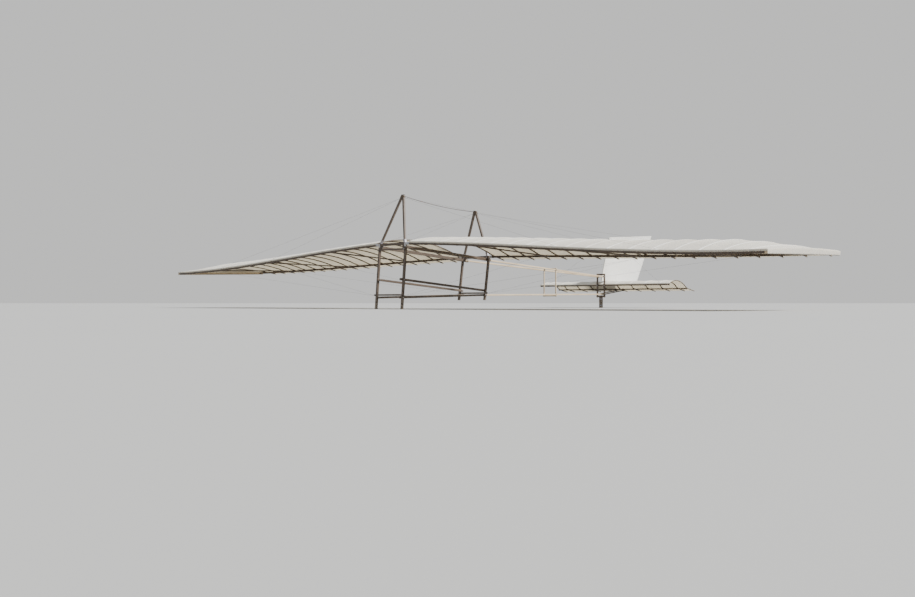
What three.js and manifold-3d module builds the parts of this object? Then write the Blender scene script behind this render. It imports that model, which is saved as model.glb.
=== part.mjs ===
// Monoplane hang glider: a wooden box frame that the pilot stands in, two drooping
// single surface wings, a slender lattice boom, and a tailplane with a fin.
// Millimetres, +Z up, nose towards -Y, the left (port) wing towards +X.
// It stands parked on its two front feet and its tail skid.
import * as THREE from "three";
import { mergeVertices } from "three/addons/utils/BufferGeometryUtils.js";
import Module from "manifold-3d";

const wasm = await Module();
wasm.setup();

// Driving dimensions. Seated pieces keep the gap, and cloth keeps the cloth gap
const gap = 0.3;
const clothGap = 0.5;

const bay = {
  halfWidth: 250,
  frontY: 0,
  rearY: 1600,
  post: 30,
  frontRailZ: 152,
  rearRailZ: 193,
  frontSparZ: 856,
  rearSparZ: 735,
  frontLean: 60,
  rearLean: 78,
  rearFootZ: 120,
  barOverhang: 12,
};

const section = {
  centreBar: { depth: 30, height: 32 },
  tieBar: { depth: 18, height: 22 },
  topBeam: { width: 30, height: 40, belowHead: 21 },
  lowerRail: { width: 22, height: 28 },
  handRail: { width: 24, height: 30 },
  boomRail: { width: 18, height: 22 },
  boomStick: 16,
  kingLeg: 26,
};

// The legs' heads are cut flat over a share of a leg's width, and part at the crotch below
const kingPost = {
  rise: 668,
  frontRake: 190,
  rearRake: -14,
  footInset: 6,
  headShare: 0.4,
  crotchShare: 1.2,
  plate: { length: 60, thickness: 4, overhang: 2 },
};

const handRail = { frontZ: 388, rearZ: 258 };

const wing = {
  rootX: 250,
  tipX: 5300,
  sparDepth: 24,
  sparHeight: 30,
  frontDroop: 284,
  rearDroop: 117,
  rootEase: 0.7,
  firstRibX: 330,
  ribPitch: 282,
  ribCount: 18,
  ribWidth: 12,
  ribHeight: 14,
  ribHousing: 4,
  camber: 132,
  fadeLength: 900,
  tipCamber: 0.15,
  tail: 245,
  tailDrop: 42,
  skin: 3,
  skinRootEdge: 8,
  chordSteps: 12,
  tailSteps: 2,
  strutX: [1333, 2775, 4148],
  strut: { width: 20, height: 18 },
  tipBar: { width: 34, height: 30, frontDrop: 3, rearDrop: 8, rearReach: 60 },
};

const boom = {
  startOverlap: 10,
  upperBelowHead: 24,
  endY: 4760,
  upperZ: 514,
  lowerZ: 224,
  halfWidth: 50,
  frameY: 3390,
};

const tailplane = {
  frontY: 4773,
  rearY: 5290,
  trailY: 5530,
  frontZ: 372,
  rearZ: 312,
  trailZ: 262,
  halfSpan: 1300,
  ribPitch: 280,
  ribsEachSide: 4,
  endRibInset: 6,
  camber: 78,
  sparDepth: 18,
  sparHeight: 20,
  ribWidth: 10,
  ribHeight: 12,
  ribHousing: 3,
  skin: 3,
  chordSteps: 8,
};
const tailplaneStrut = { size: 16, startZ: 226 };

const fin = {
  thickness: 14,
  shoulderY: 4788,
  headFront: { y: 4990, z: 1180 },
  headRear: { y: 6260, z: 1262 },
  footRearY: 5800,
};

const tailPost = {
  width: 20,
  depth: 26,
  baseZ: 205,
  headZ: 540,
  blockHeight: 26,
  railClearance: 1.5,
  fromRailEnd: 10,
};
const skid = { width: 44, depth: 50, headHeight: 30, headDepth: 34 };
const stay = { diameter: 5, sag: 30, belowHead: 14, legClearance: 1.2, steps: 24 };

// Finishes
const finish = (color, roughness, metalness = 0) =>
  new THREE.MeshStandardMaterial({ color, roughness, metalness });

const darkWood = finish(0x4a3626, 0.62);
const paleWood = finish(0xb79a6c, 0.66);
const cloth = finish(0xe9e4d6, 0.9);
const steel = finish(0x53565a, 0.45, 0.9);

// Places in the space of the front feet, moved to the middle of the object at the end
const model = new THREE.Group();

function addMesh(name, geometry, material) {
  const mesh = new THREE.Mesh(geometry, material);
  mesh.name = name;
  model.add(mesh);
  return mesh;
}

// Side view outline (y, z), given its thickness along X
function sideSolid(points, x0, x1) {
  const shape = new THREE.Shape(points.map(([y, z]) => new THREE.Vector2(y, z)));
  const geometry = new THREE.ExtrudeGeometry(shape, { depth: x1 - x0, bevelEnabled: false });
  const axes = new THREE.Matrix4().makeBasis(
    new THREE.Vector3(0, 1, 0),
    new THREE.Vector3(0, 0, 1),
    new THREE.Vector3(1, 0, 0),
  );
  axes.setPosition(x0, 0, 0);
  return geometry.applyMatrix4(axes);
}

// Front view outline (x, z), given its thickness along Y
function frontSolid(points, y0, y1) {
  const shape = new THREE.Shape(points.map(([x, z]) => new THREE.Vector2(x, z)));
  const geometry = new THREE.ExtrudeGeometry(shape, { depth: y1 - y0, bevelEnabled: false });
  const axes = new THREE.Matrix4().makeBasis(
    new THREE.Vector3(1, 0, 0),
    new THREE.Vector3(0, 0, 1),
    new THREE.Vector3(0, -1, 0),
  );
  axes.setPosition(0, y1, 0);
  return geometry.applyMatrix4(axes);
}

// Square ended bar between two points; its width lies towards the side vector
function bar(from, to, width, height, side = new THREE.Vector3(1, 0, 0)) {
  const start = new THREE.Vector3(...from);
  const end = new THREE.Vector3(...to);
  const along = end.clone().sub(start);
  const length = along.length();
  along.normalize();
  const up = side.clone().cross(along).normalize();
  const across = along.clone().cross(up).normalize();
  const geometry = new THREE.BoxGeometry(width, length, height);
  const axes = new THREE.Matrix4().makeBasis(across, along, up);
  axes.setPosition(start.add(end).multiplyScalar(0.5));
  return geometry.applyMatrix4(axes);
}

// Straight beam along Y from [y, z] to [y, z], with upright end faces
function plumbEnded([y0, z0], [y1, z1], height, x0, x1) {
  const half = height / 2;
  return sideSolid([[y0, z0 - half], [y1, z1 - half], [y1, z1 + half], [y0, z0 + half]], x0, x1);
}

// Closed solid between two height functions over rows of x and columns of y
function gridSolid(xs, ysAt, lower, upper) {
  const rows = xs.length;
  const columns = ysAt(xs[0]).length;
  const positions = [];
  for (const height of [lower, upper]) {
    for (const x of xs) {
      for (const y of ysAt(x)) positions.push(x, y, height(x, y));
    }
  }
  const at = (layer, row, column) => layer * rows * columns + row * columns + column;
  const index = [];
  const quad = (a, b, c, d) => index.push(a, b, c, a, c, d);
  for (let row = 0; row < rows - 1; row += 1) {
    for (let column = 0; column < columns - 1; column += 1) {
      quad(at(1, row, column), at(1, row + 1, column), at(1, row + 1, column + 1), at(1, row, column + 1));
      quad(at(0, row, column), at(0, row, column + 1), at(0, row + 1, column + 1), at(0, row + 1, column));
    }
  }
  for (let column = 0; column < columns - 1; column += 1) {
    const last = rows - 1;
    quad(at(0, 0, column), at(1, 0, column), at(1, 0, column + 1), at(0, 0, column + 1));
    quad(at(0, last, column), at(0, last, column + 1), at(1, last, column + 1), at(1, last, column));
  }
  for (let row = 0; row < rows - 1; row += 1) {
    const last = columns - 1;
    quad(at(0, row, 0), at(0, row + 1, 0), at(1, row + 1, 0), at(1, row, 0));
    quad(at(0, row, last), at(1, row, last), at(1, row + 1, last), at(0, row + 1, last));
  }
  const geometry = new THREE.BufferGeometry();
  geometry.setAttribute("position", new THREE.Float32BufferAttribute(positions, 3));
  geometry.setIndex(index);
  return geometry;
}

// Other hand of a solid, with its faces turned back outwards
function mirrored(geometry) {
  const copy = geometry.clone().applyMatrix4(new THREE.Matrix4().makeScale(-1, 1, 1));
  const flat = copy.index ? copy : mergeVertices(copy);
  const order = flat.index.array;
  for (let i = 0; i < order.length; i += 3) [order[i + 1], order[i + 2]] = [order[i + 2], order[i + 1]];
  return flat;
}

function toManifold(geometry) {
  const plain = geometry.clone();
  plain.deleteAttribute("normal");
  plain.deleteAttribute("uv");
  const welded = mergeVertices(plain, 1e-3);
  return new wasm.Manifold(new wasm.Mesh({
    numProp: 3,
    vertProperties: new Float32Array(welded.attributes.position.array),
    triVerts: new Uint32Array(welded.index.array),
  }));
}

function fuse(geometries) {
  let whole = toManifold(geometries[0]);
  for (const geometry of geometries.slice(1)) whole = whole.add(toManifold(geometry));
  const mesh = whole.getMesh();
  const geometry = new THREE.BufferGeometry();
  geometry.setAttribute("position", new THREE.Float32BufferAttribute(mesh.vertProperties, 3));
  geometry.setIndex(Array.from(mesh.triVerts));
  return geometry;
}

const sides = [["left", 1], ["right", -1]];
const forSide = (geometry, sign) => (sign > 0 ? geometry : mirrored(geometry));

// Posts of the bay, leaning aft, with level feet and heads
const frames = {
  front: {
    y: bay.frontY,
    footZ: 0,
    railZ: bay.frontRailZ,
    headZ: bay.frontSparZ - section.centreBar.height / 2,
    lean: bay.frontLean / (bay.frontSparZ - bay.frontRailZ),
  },
  rear: {
    y: bay.rearY,
    footZ: bay.rearFootZ,
    railZ: bay.rearRailZ,
    headZ: bay.rearSparZ - section.centreBar.height / 2,
    lean: bay.rearLean / (bay.rearSparZ - bay.rearRailZ),
  },
};
const postY = (frame, z) => frame.y + (z - frame.railZ) * frame.lean;

function leaning(frame, z0, z1, y0, y1, x0, x1) {
  return sideSolid([
    [postY(frame, z0) + y0, z0],
    [postY(frame, z0) + y1, z0],
    [postY(frame, z1) + y1, z1],
    [postY(frame, z1) + y0, z1],
  ], x0, x1);
}

const halfPost = bay.post / 2;
for (const [place, frame] of Object.entries(frames)) {
  for (const [hand, sign] of sides) {
    const geometry = leaning(frame, frame.footZ, frame.headZ - gap, -halfPost, halfPost,
      bay.halfWidth - halfPost, bay.halfWidth + halfPost);
    addMesh(`${place}_post_${hand}`, forSide(geometry, sign), darkWood);
  }
}

// Bars across the heads of the posts, which carry the wing spars and the king posts
const barEnd = bay.halfWidth + halfPost + bay.barOverhang;
const barY = {
  front: postY(frames.front, bay.frontSparZ),
  rear: postY(frames.rear, bay.rearSparZ),
};
for (const [place, sparZ] of [["front", bay.frontSparZ], ["rear", bay.rearSparZ]]) {
  const { depth, height } = section.centreBar;
  const geometry = new THREE.BoxGeometry(2 * barEnd, depth, height);
  geometry.translate(0, barY[place], sparZ);
  addMesh(`${place}_centre_bar`, geometry, darkWood);
}

// Tie bars: one close under the front centre bar, one low on each frame
const ties = [
  { name: "front_upper_tie", frame: frames.front, z: 786, face: -1, reach: 20 },
  { name: "front_lower_tie", frame: frames.front, z: 186, face: -1, reach: 26 },
  { name: "rear_lower_tie", frame: frames.rear, z: 222, face: 1, reach: 20 },
];
for (const { name, frame, z, face, reach } of ties) {
  const { depth, height } = section.tieBar;
  const near = face * (halfPost + gap);
  const far = face * (halfPost + gap + depth);
  const end = bay.halfWidth + reach;
  const geometry = leaning(frame, z - height / 2, z + height / 2,
    Math.min(near, far), Math.max(near, far), -end, end);
  addMesh(name, geometry, darkWood);
}

// Beams and rails lie against the inner faces of the posts
const innerFace = bay.halfWidth - halfPost - gap;
const beamZ = (frame) => frame.headZ - section.topBeam.belowHead;
const lapRails = [
  {
    name: "top_beam",
    size: section.topBeam,
    frontZ: beamZ(frames.front),
    rearZ: beamZ(frames.rear),
    frontReach: 20,
    rearReach: 70,
  },
  {
    name: "hand_rail",
    size: section.handRail,
    frontZ: handRail.frontZ,
    rearZ: handRail.rearZ,
    frontReach: 40,
    rearReach: 30,
  },
  {
    name: "lower_rail",
    size: section.lowerRail,
    frontZ: bay.frontRailZ,
    rearZ: bay.rearRailZ,
    frontReach: 30,
    rearReach: 60,
  },
];
for (const { name, size, frontZ, rearZ, frontReach, rearReach } of lapRails) {
  const x = innerFace - size.width / 2;
  const front = [x, postY(frames.front, frontZ), frontZ];
  const rear = [x, postY(frames.rear, rearZ), rearZ];
  const slope = (rearZ - frontZ) / (rear[1] - front[1]);
  const start = [x, front[1] - frontReach, frontZ - frontReach * slope];
  const end = [x, rear[1] + rearReach, rearZ + rearReach * slope];
  for (const [hand, sign] of sides) {
    addMesh(`${name}_${hand}`, forSide(bar(start, end, size.width, size.height), sign), darkWood);
  }
}

// King posts: two legs that meet under a small plate
for (const [place, sparZ, rake] of [
  ["front", bay.frontSparZ, kingPost.frontRake],
  ["rear", bay.rearSparZ, kingPost.rearRake],
]) {
  const footZ = sparZ + section.centreBar.height / 2 + gap;
  const headZ = sparZ + kingPost.rise;
  const footX = bay.halfWidth - kingPost.footInset;
  const leg = section.kingLeg;
  const slope = (footX - leg / 2) / (headZ - footZ);
  const wide = leg * Math.hypot(1, slope);
  const outline = [
    [footX - wide, footZ],
    [footX, footZ],
    [wide / 2 + leg * kingPost.headShare, headZ],
    [gap / 2, headZ],
    [gap / 2, headZ - leg * kingPost.crotchShare],
  ];
  const shear = new THREE.Matrix4().set(
    1, 0, 0, 0,
    0, 1, rake / kingPost.rise, barY[place] - (rake / kingPost.rise) * footZ,
    0, 0, 1, 0,
    0, 0, 0, 1,
  );
  for (const [hand, sign] of sides) {
    const geometry = frontSolid(outline, -leg / 2, leg / 2).applyMatrix4(shear);
    addMesh(`${place}_king_leg_${hand}`, forSide(geometry, sign), darkWood);
  }
  const { length, thickness, overhang } = kingPost.plate;
  const headY = barY[place] + (rake / kingPost.rise) * (headZ - footZ);
  const plate = new THREE.BoxGeometry(length, leg + 2 * overhang, thickness);
  plate.translate(0, headY, headZ + gap + thickness / 2);
  addMesh(`${place}_king_plate`, plate, steel);
}

// Wings: spar heights follow one easing curve from the root to the tip
function sparHeight(rootZ, droop) {
  const curve = new THREE.CubicBezierCurve(
    new THREE.Vector2(0, 0),
    new THREE.Vector2(1 / 3, wing.rootEase / 3),
    new THREE.Vector2(2 / 3, 1),
    new THREE.Vector2(1, 1),
  );
  return (x) => {
    const u = (Math.abs(x) - wing.rootX) / (wing.tipX - wing.rootX);
    return rootZ - droop * curve.getPoint(Math.min(Math.max(u, 0), 1)).y;
  };
}
const frontSparZ = sparHeight(bay.frontSparZ, wing.frontDroop);
const rearSparZ = sparHeight(bay.rearSparZ, wing.rearDroop);
const halfSpar = wing.sparDepth / 2;
const leadY = barY.front - halfSpar;
const rearY = barY.rear;
const trailY = rearY + wing.tail;
const chord = rearY - leadY;

const camberAt = (x) => {
  const fade = Math.min((wing.tipX - Math.abs(x)) / wing.fadeLength, 1);
  const ease = Math.sin((Math.max(fade, 0) * Math.PI) / 2);
  return wing.camber * (wing.tipCamber + (1 - wing.tipCamber) * ease);
};

// Underside of the ribs: an arch from spar to spar, then a straight tail
function ribUnder(x, y) {
  const frontTop = frontSparZ(x) + wing.sparHeight / 2 + gap;
  const rearTop = rearSparZ(x) + wing.sparHeight / 2 - wing.ribHousing;
  const t = (y - leadY) / chord;
  const line = frontTop + (rearTop - frontTop) * t;
  if (t <= 1) return line + camberAt(x) * 4 * t * (1 - t);
  return line - wing.tailDrop * ((y - rearY) / wing.tail);
}
const ribTop = (x, y) => ribUnder(x, y) + wing.ribHeight;

const chordYs = [];
for (let i = 0; i <= wing.chordSteps; i += 1) chordYs.push(leadY + (chord * i) / wing.chordSteps);
for (let i = 1; i <= wing.tailSteps; i += 1) chordYs.push(rearY + (wing.tail * i) / wing.tailSteps);

const ribXs = [];
for (let i = 0; i < wing.ribCount; i += 1) ribXs.push(wing.firstRibX + i * wing.ribPitch);

// A spar is the outline of a drooping beam, one station at each rib
function sparOutline(heightAt, x0, x1, height) {
  const stations = [x0, ...ribXs.filter((x) => x > x0 + 1 && x < x1 - 1), x1];
  const lower = stations.map((x) => [x, heightAt(x) - height / 2]);
  const upper = stations.map((x) => [x, heightAt(x) + height / 2]).reverse();
  return [...lower, ...upper];
}

const sparRoot = barEnd + gap;
const tipInner = wing.tipX - wing.tipBar.width;
const frontSpar = frontSolid(sparOutline(frontSparZ, sparRoot, tipInner - gap, wing.sparHeight),
  leadY, leadY + wing.sparDepth);
const rearSpar = frontSolid(sparOutline(rearSparZ, sparRoot, tipInner - gap, wing.sparHeight),
  rearY - halfSpar, rearY + halfSpar);
const ribs = ribXs.map((x) => gridSolid(
  [x - wing.ribWidth / 2, x + wing.ribWidth / 2],
  () => chordYs,
  ribUnder,
  ribTop,
));
const rearSparWithRibs = fuse([rearSpar, ...ribs]);

const skinXs = [ribXs[0] - wing.skinRootEdge, ...ribXs, wing.tipX];
const skinUnder = (x, y) => ribTop(x, y) + clothGap;
const skin = gridSolid(skinXs, () => chordYs, skinUnder, (x, y) => skinUnder(x, y) + wing.skin);

const tipBarZ = (sparZ, drop) => sparZ + (wing.sparHeight - wing.tipBar.height) / 2 - drop;
const tipBar = plumbEnded(
  [leadY, tipBarZ(frontSparZ(wing.tipX), wing.tipBar.frontDrop)],
  [rearY + wing.tipBar.rearReach, tipBarZ(rearSparZ(wing.tipX), wing.tipBar.rearDrop)],
  wing.tipBar.height,
  tipInner,
  wing.tipX,
);

for (const [hand, sign] of sides) {
  addMesh(`front_spar_${hand}`, forSide(frontSpar, sign), darkWood);
  addMesh(`rear_spar_and_ribs_${hand}`, forSide(rearSparWithRibs, sign), darkWood);
  addMesh(`tip_bar_${hand}`, forSide(tipBar, sign), paleWood);
  addMesh(`wing_skin_${hand}`, forSide(skin, sign), cloth);
  wing.strutX.forEach((x, i) => {
    const halfWidth = wing.strut.width / 2;
    const geometry = plumbEnded(
      [leadY + wing.sparDepth + gap, frontSparZ(x)],
      [rearY - halfSpar - gap, rearSparZ(x)],
      wing.strut.height,
      x - halfWidth,
      x + halfWidth,
    );
    addMesh(`wing_strut_${i + 1}_${hand}`, forSide(geometry, sign), darkWood);
  });
}

// Boom: four converging rails, one frame of sticks half way, two posts at the end
const boomLevels = [
  {
    name: "upper",
    startY: rearY - boom.startOverlap,
    startZ: frames.rear.headZ - boom.upperBelowHead,
    endZ: boom.upperZ,
    inset: section.topBeam.width,
  },
  {
    name: "lower",
    startY: bay.rearY - boom.startOverlap,
    startZ: bay.rearRailZ,
    endZ: boom.lowerZ,
    inset: section.lowerRail.width,
  },
];
const boomRailAt = (level, y) => {
  const startX = innerFace - level.inset - gap - section.boomRail.width / 2;
  const t = (y - level.startY) / (boom.endY - level.startY);
  const endX = boom.halfWidth;
  return [startX + (endX - startX) * t, y, level.startZ + (level.endZ - level.startZ) * t];
};
for (const level of boomLevels) {
  for (const [hand, sign] of sides) {
    const geometry = bar(boomRailAt(level, level.startY), boomRailAt(level, boom.endY),
      section.boomRail.width, section.boomRail.height);
    addMesh(`boom_${level.name}_rail_${hand}`, forSide(geometry, sign), paleWood);
  }
}

const [upperLevel, lowerLevel] = boomLevels;
const stick = section.boomStick;

// Height from a sloping rail's centre line to a stick that lies on it or hangs below it
function railClear(level) {
  const slope = Math.abs(level.endZ - level.startZ) / (boom.endY - level.startY);
  return (section.boomRail.height / 2) * Math.hypot(1, slope) + (slope * stick) / 2 + gap;
}
const upperAt = boomRailAt(upperLevel, boom.frameY);
const lowerAt = boomRailAt(lowerLevel, boom.frameY);
const uprightLean = Math.abs(upperAt[0] - lowerAt[0]) / (upperAt[2] - lowerAt[2]);
const uprightEnd = (uprightLean * stick) / 2;
for (const [hand, sign] of sides) {
  const geometry = bar(
    [lowerAt[0], boom.frameY, lowerAt[2] + railClear(lowerLevel) + uprightEnd],
    [upperAt[0], boom.frameY, upperAt[2] - railClear(upperLevel) - uprightEnd],
    stick,
    stick,
  );
  addMesh(`boom_upright_${hand}`, forSide(geometry, sign), paleWood);
}
for (const [name, place, offset] of [
  ["boom_upper_cross_stick", upperAt, railClear(upperLevel) + stick / 2],
  ["boom_lower_cross_stick", lowerAt, -railClear(lowerLevel) - stick / 2],
]) {
  const reach = place[0] + section.boomRail.width;
  const geometry = new THREE.BoxGeometry(2 * reach, stick, stick);
  geometry.translate(0, boom.frameY, place[2] + offset);
  addMesh(name, geometry, paleWood);
}

// Two tail posts outside the ends of the rails, a head block on them, and the skid below
const tailPostY = boom.endY - tailPost.fromRailEnd;
const railFace = boom.halfWidth + section.boomRail.width / 2;
const tailPostX = railFace + tailPost.railClearance + tailPost.width / 2;
const tailHalf = tailPostX + tailPost.width / 2;
for (const [hand, sign] of sides) {
  const geometry = new THREE.BoxGeometry(tailPost.width, tailPost.depth, tailPost.headZ - tailPost.baseZ);
  geometry.translate(tailPostX, tailPostY, (tailPost.headZ + tailPost.baseZ) / 2);
  addMesh(`tail_post_${hand}`, forSide(geometry, sign), darkWood);
}
const headBlock = new THREE.BoxGeometry(2 * tailHalf, tailPost.depth, tailPost.blockHeight);
headBlock.translate(0, tailPostY, tailPost.headZ + gap + tailPost.blockHeight / 2);
addMesh("tail_head_block", headBlock, darkWood);
const skidTop = tailPost.baseZ - gap;
addMesh("tail_skid", fuse([
  new THREE.BoxGeometry(skid.width, skid.depth, skidTop).translate(0, tailPostY, skidTop / 2),
  new THREE.BoxGeometry(2 * tailHalf, skid.headDepth, skid.headHeight)
    .translate(0, tailPostY, skidTop - skid.headHeight / 2),
]), darkWood);

// Tailplane, built like the wing: front spar, rear spar with ribs, skin
const endRibX = tailplane.halfSpan - tailplane.endRibInset;
const tailRibXs = [-endRibX];
for (let i = -tailplane.ribsEachSide; i <= tailplane.ribsEachSide; i += 1) {
  tailRibXs.push(i * tailplane.ribPitch);
}
tailRibXs.push(endRibX);
const tailLeadY = tailplane.frontY - tailplane.sparDepth / 2;
const tailChord = tailplane.rearY - tailLeadY;
function tailUnder(x, y) {
  const frontTop = tailplane.frontZ + tailplane.sparHeight / 2 + gap;
  const rearTop = tailplane.rearZ + tailplane.sparHeight / 2 - tailplane.ribHousing;
  const t = (y - tailLeadY) / tailChord;
  if (t <= 1) return frontTop + (rearTop - frontTop) * t + tailplane.camber * 4 * t * (1 - t);
  const run = (y - tailplane.rearY) / (tailplane.trailY - tailplane.rearY);
  return rearTop + (tailplane.trailZ - tailplane.rearZ) * run;
}
const tailTop = (x, y) => tailUnder(x, y) + tailplane.ribHeight;
const tailYs = [];
for (let i = 0; i <= tailplane.chordSteps; i += 1) {
  tailYs.push(tailLeadY + (tailChord * i) / tailplane.chordSteps);
}
tailYs.push(tailplane.trailY);

function tailSpar(y, z) {
  const spar = new THREE.BoxGeometry(2 * tailplane.halfSpan, tailplane.sparDepth, tailplane.sparHeight);
  return spar.translate(0, y, z);
}
addMesh("tail_front_spar", tailSpar(tailplane.frontY, tailplane.frontZ), darkWood);
const tailRibs = tailRibXs.map((x) => gridSolid(
  [x - tailplane.ribWidth / 2, x + tailplane.ribWidth / 2],
  () => tailYs,
  tailUnder,
  tailTop,
));
addMesh("tail_rear_spar_and_ribs",
  fuse([tailSpar(tailplane.rearY, tailplane.rearZ), ...tailRibs]), darkWood);
const tailSkinUnder = (x, y) => tailTop(x, y) + clothGap;
addMesh("tailplane_skin", gridSolid([-tailplane.halfSpan, 0, tailplane.halfSpan], () => tailYs,
  tailSkinUnder, (x, y) => tailSkinUnder(x, y) + tailplane.skin), cloth);

// Struts from the foot of the tail posts to the rear spar of the tailplane
const halfStrut = tailplaneStrut.size / 2;
const strutEndZ = tailplane.rearZ - tailplane.sparHeight / 2 - gap - halfStrut;
const tailPostAft = tailPostY + tailPost.depth / 2 + gap;
for (const [hand, sign] of sides) {
  const geometry = plumbEnded(
    [tailPostAft, tailplaneStrut.startZ],
    [tailplane.rearY + tailplane.sparDepth / 2, strutEndZ],
    tailplaneStrut.size,
    tailPostX - halfStrut,
    tailPostX + halfStrut,
  );
  addMesh(`tailplane_strut_${hand}`, forSide(geometry, sign), darkWood);
}

// Fin: a thin covered frame in the middle plane, behind the head block, on the tailplane
const tailCrown = Math.max(...tailYs.map((y) => tailSkinUnder(0, y)));
const finFootZ = tailCrown + tailplane.skin + gap;
const finOutline = [
  [tailPostAft, finFootZ],
  [fin.footRearY, finFootZ],
  [fin.headRear.y, fin.headRear.z],
  [fin.headFront.y, fin.headFront.z],
  [fin.shoulderY, tailPost.headZ + tailPost.blockHeight],
  [tailPostAft, tailPost.headZ + tailPost.blockHeight],
];
addMesh("fin", sideSolid(finOutline, -fin.thickness / 2, fin.thickness / 2), cloth);

// Main stay between the heads of the two king posts, sagging a little
const stayEnd = (place, sparZ, rake, face) => {
  const footZ = sparZ + section.centreBar.height / 2 + gap;
  const z = sparZ + kingPost.rise - stay.belowHead;
  const y = barY[place] + (rake / kingPost.rise) * (z - footZ);
  return new THREE.Vector3(0, y + face * (section.kingLeg / 2 + stay.legClearance), z);
};
const stayFront = stayEnd("front", bay.frontSparZ, kingPost.frontRake, 1);
const stayRear = stayEnd("rear", bay.rearSparZ, kingPost.rearRake, -1);
const stayMiddle = stayFront.clone().add(stayRear).multiplyScalar(0.5);
stayMiddle.z -= stay.sag * 2;
const stayPath = new THREE.QuadraticBezierCurve3(stayFront, stayMiddle, stayRear);
const staySection = new THREE.Shape();
staySection.absarc(0, 0, stay.diameter / 2, 0, 2 * Math.PI);
addMesh("main_stay", new THREE.ExtrudeGeometry(staySection, {
  steps: stay.steps,
  curveSegments: 8,
  bevelEnabled: false,
  extrudePath: stayPath,
}), steel);

// The origin is on the ground, below the middle of the object
const whole = new THREE.Box3().setFromObject(model);
model.position.y = -(whole.min.y + whole.max.y) / 2;

export default model;
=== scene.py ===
import logging
import math
from dataclasses import dataclass
from enum import Enum
from typing import Callable, Iterable, Sequence

import bmesh
import bpy
import numpy as np
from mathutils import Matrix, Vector


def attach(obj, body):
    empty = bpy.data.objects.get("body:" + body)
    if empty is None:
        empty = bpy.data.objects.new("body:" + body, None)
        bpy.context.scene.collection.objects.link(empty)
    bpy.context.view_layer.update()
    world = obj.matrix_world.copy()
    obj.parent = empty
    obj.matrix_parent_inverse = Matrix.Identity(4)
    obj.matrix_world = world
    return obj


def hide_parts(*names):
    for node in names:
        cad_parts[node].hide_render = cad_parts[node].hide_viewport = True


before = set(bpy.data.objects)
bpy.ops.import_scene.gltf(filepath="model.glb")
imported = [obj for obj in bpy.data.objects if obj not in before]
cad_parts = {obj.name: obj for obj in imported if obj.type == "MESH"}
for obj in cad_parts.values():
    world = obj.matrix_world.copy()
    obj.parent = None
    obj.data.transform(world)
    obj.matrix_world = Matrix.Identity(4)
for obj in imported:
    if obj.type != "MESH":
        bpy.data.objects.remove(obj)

# Wooden monoplane hang glider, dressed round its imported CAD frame.
# Every length is in metres, in the frame's own axes: nose to -Y, left wing to +X, floor at Z 0.

LOG = logging.getLogger("hang_glider")
BODY = "root"
STARTUP_OBJECTS = ("Cube", "Light", "Camera")
SHARP_EDGE = math.radians(30)
ROUND_SEGMENTS = 2
UP, ACROSS = Vector((0, 0, 1)), Vector((1, 0, 0))

Point = tuple[float, float, float]
Pair = tuple[float, float]
Oval = tuple[float, float, float, float]
Line = Sequence[Point]
Ring = tuple[int, ...]
Placed = tuple[Vector, Vector, Vector]
Colour = tuple[float, float, float]
Socket = bpy.types.NodeSocket
Sockets = tuple[Socket, ...]
Outputs = bpy.types.NodeOutputs
Piece = bpy.types.Object
Mesh = bpy.types.Mesh


class Side(Enum):
    """The two mirror halves of the glider; the left wing lies towards +X."""

    LEFT = 1
    RIGHT = -1

    @property
    def tag(self) -> str:
        """The ending that the CAD gives to this side's nodes."""
        return self.name.lower()

    def place(self, point: Point) -> Point:
        """Put a point of the left half on this side."""
        return (self.value * point[0], point[1], point[2])


class Slot(Enum):
    """Material slots of the record."""

    FRAME_WOOD = "frame_wood"
    BOOM_WOOD = "boom_wood"
    CLOTH = "cloth"
    STEEL = "steel"


def clamped(value: float, low: float = 0.0, high: float = 1.0) -> float:
    """Keep a value between two bounds."""
    return min(max(value, low), high)


def floats(start: float, stop: float, step: float) -> list[float]:
    """Even steps from start up to stop."""
    return [float(x) for x in np.arange(start, stop, step)]


def around(items: Sequence) -> list[tuple]:
    """Each item with the next one, and the last with the first."""
    return list(zip(items, [*items[1:], items[0]]))


# Shader groups and finishes


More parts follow.
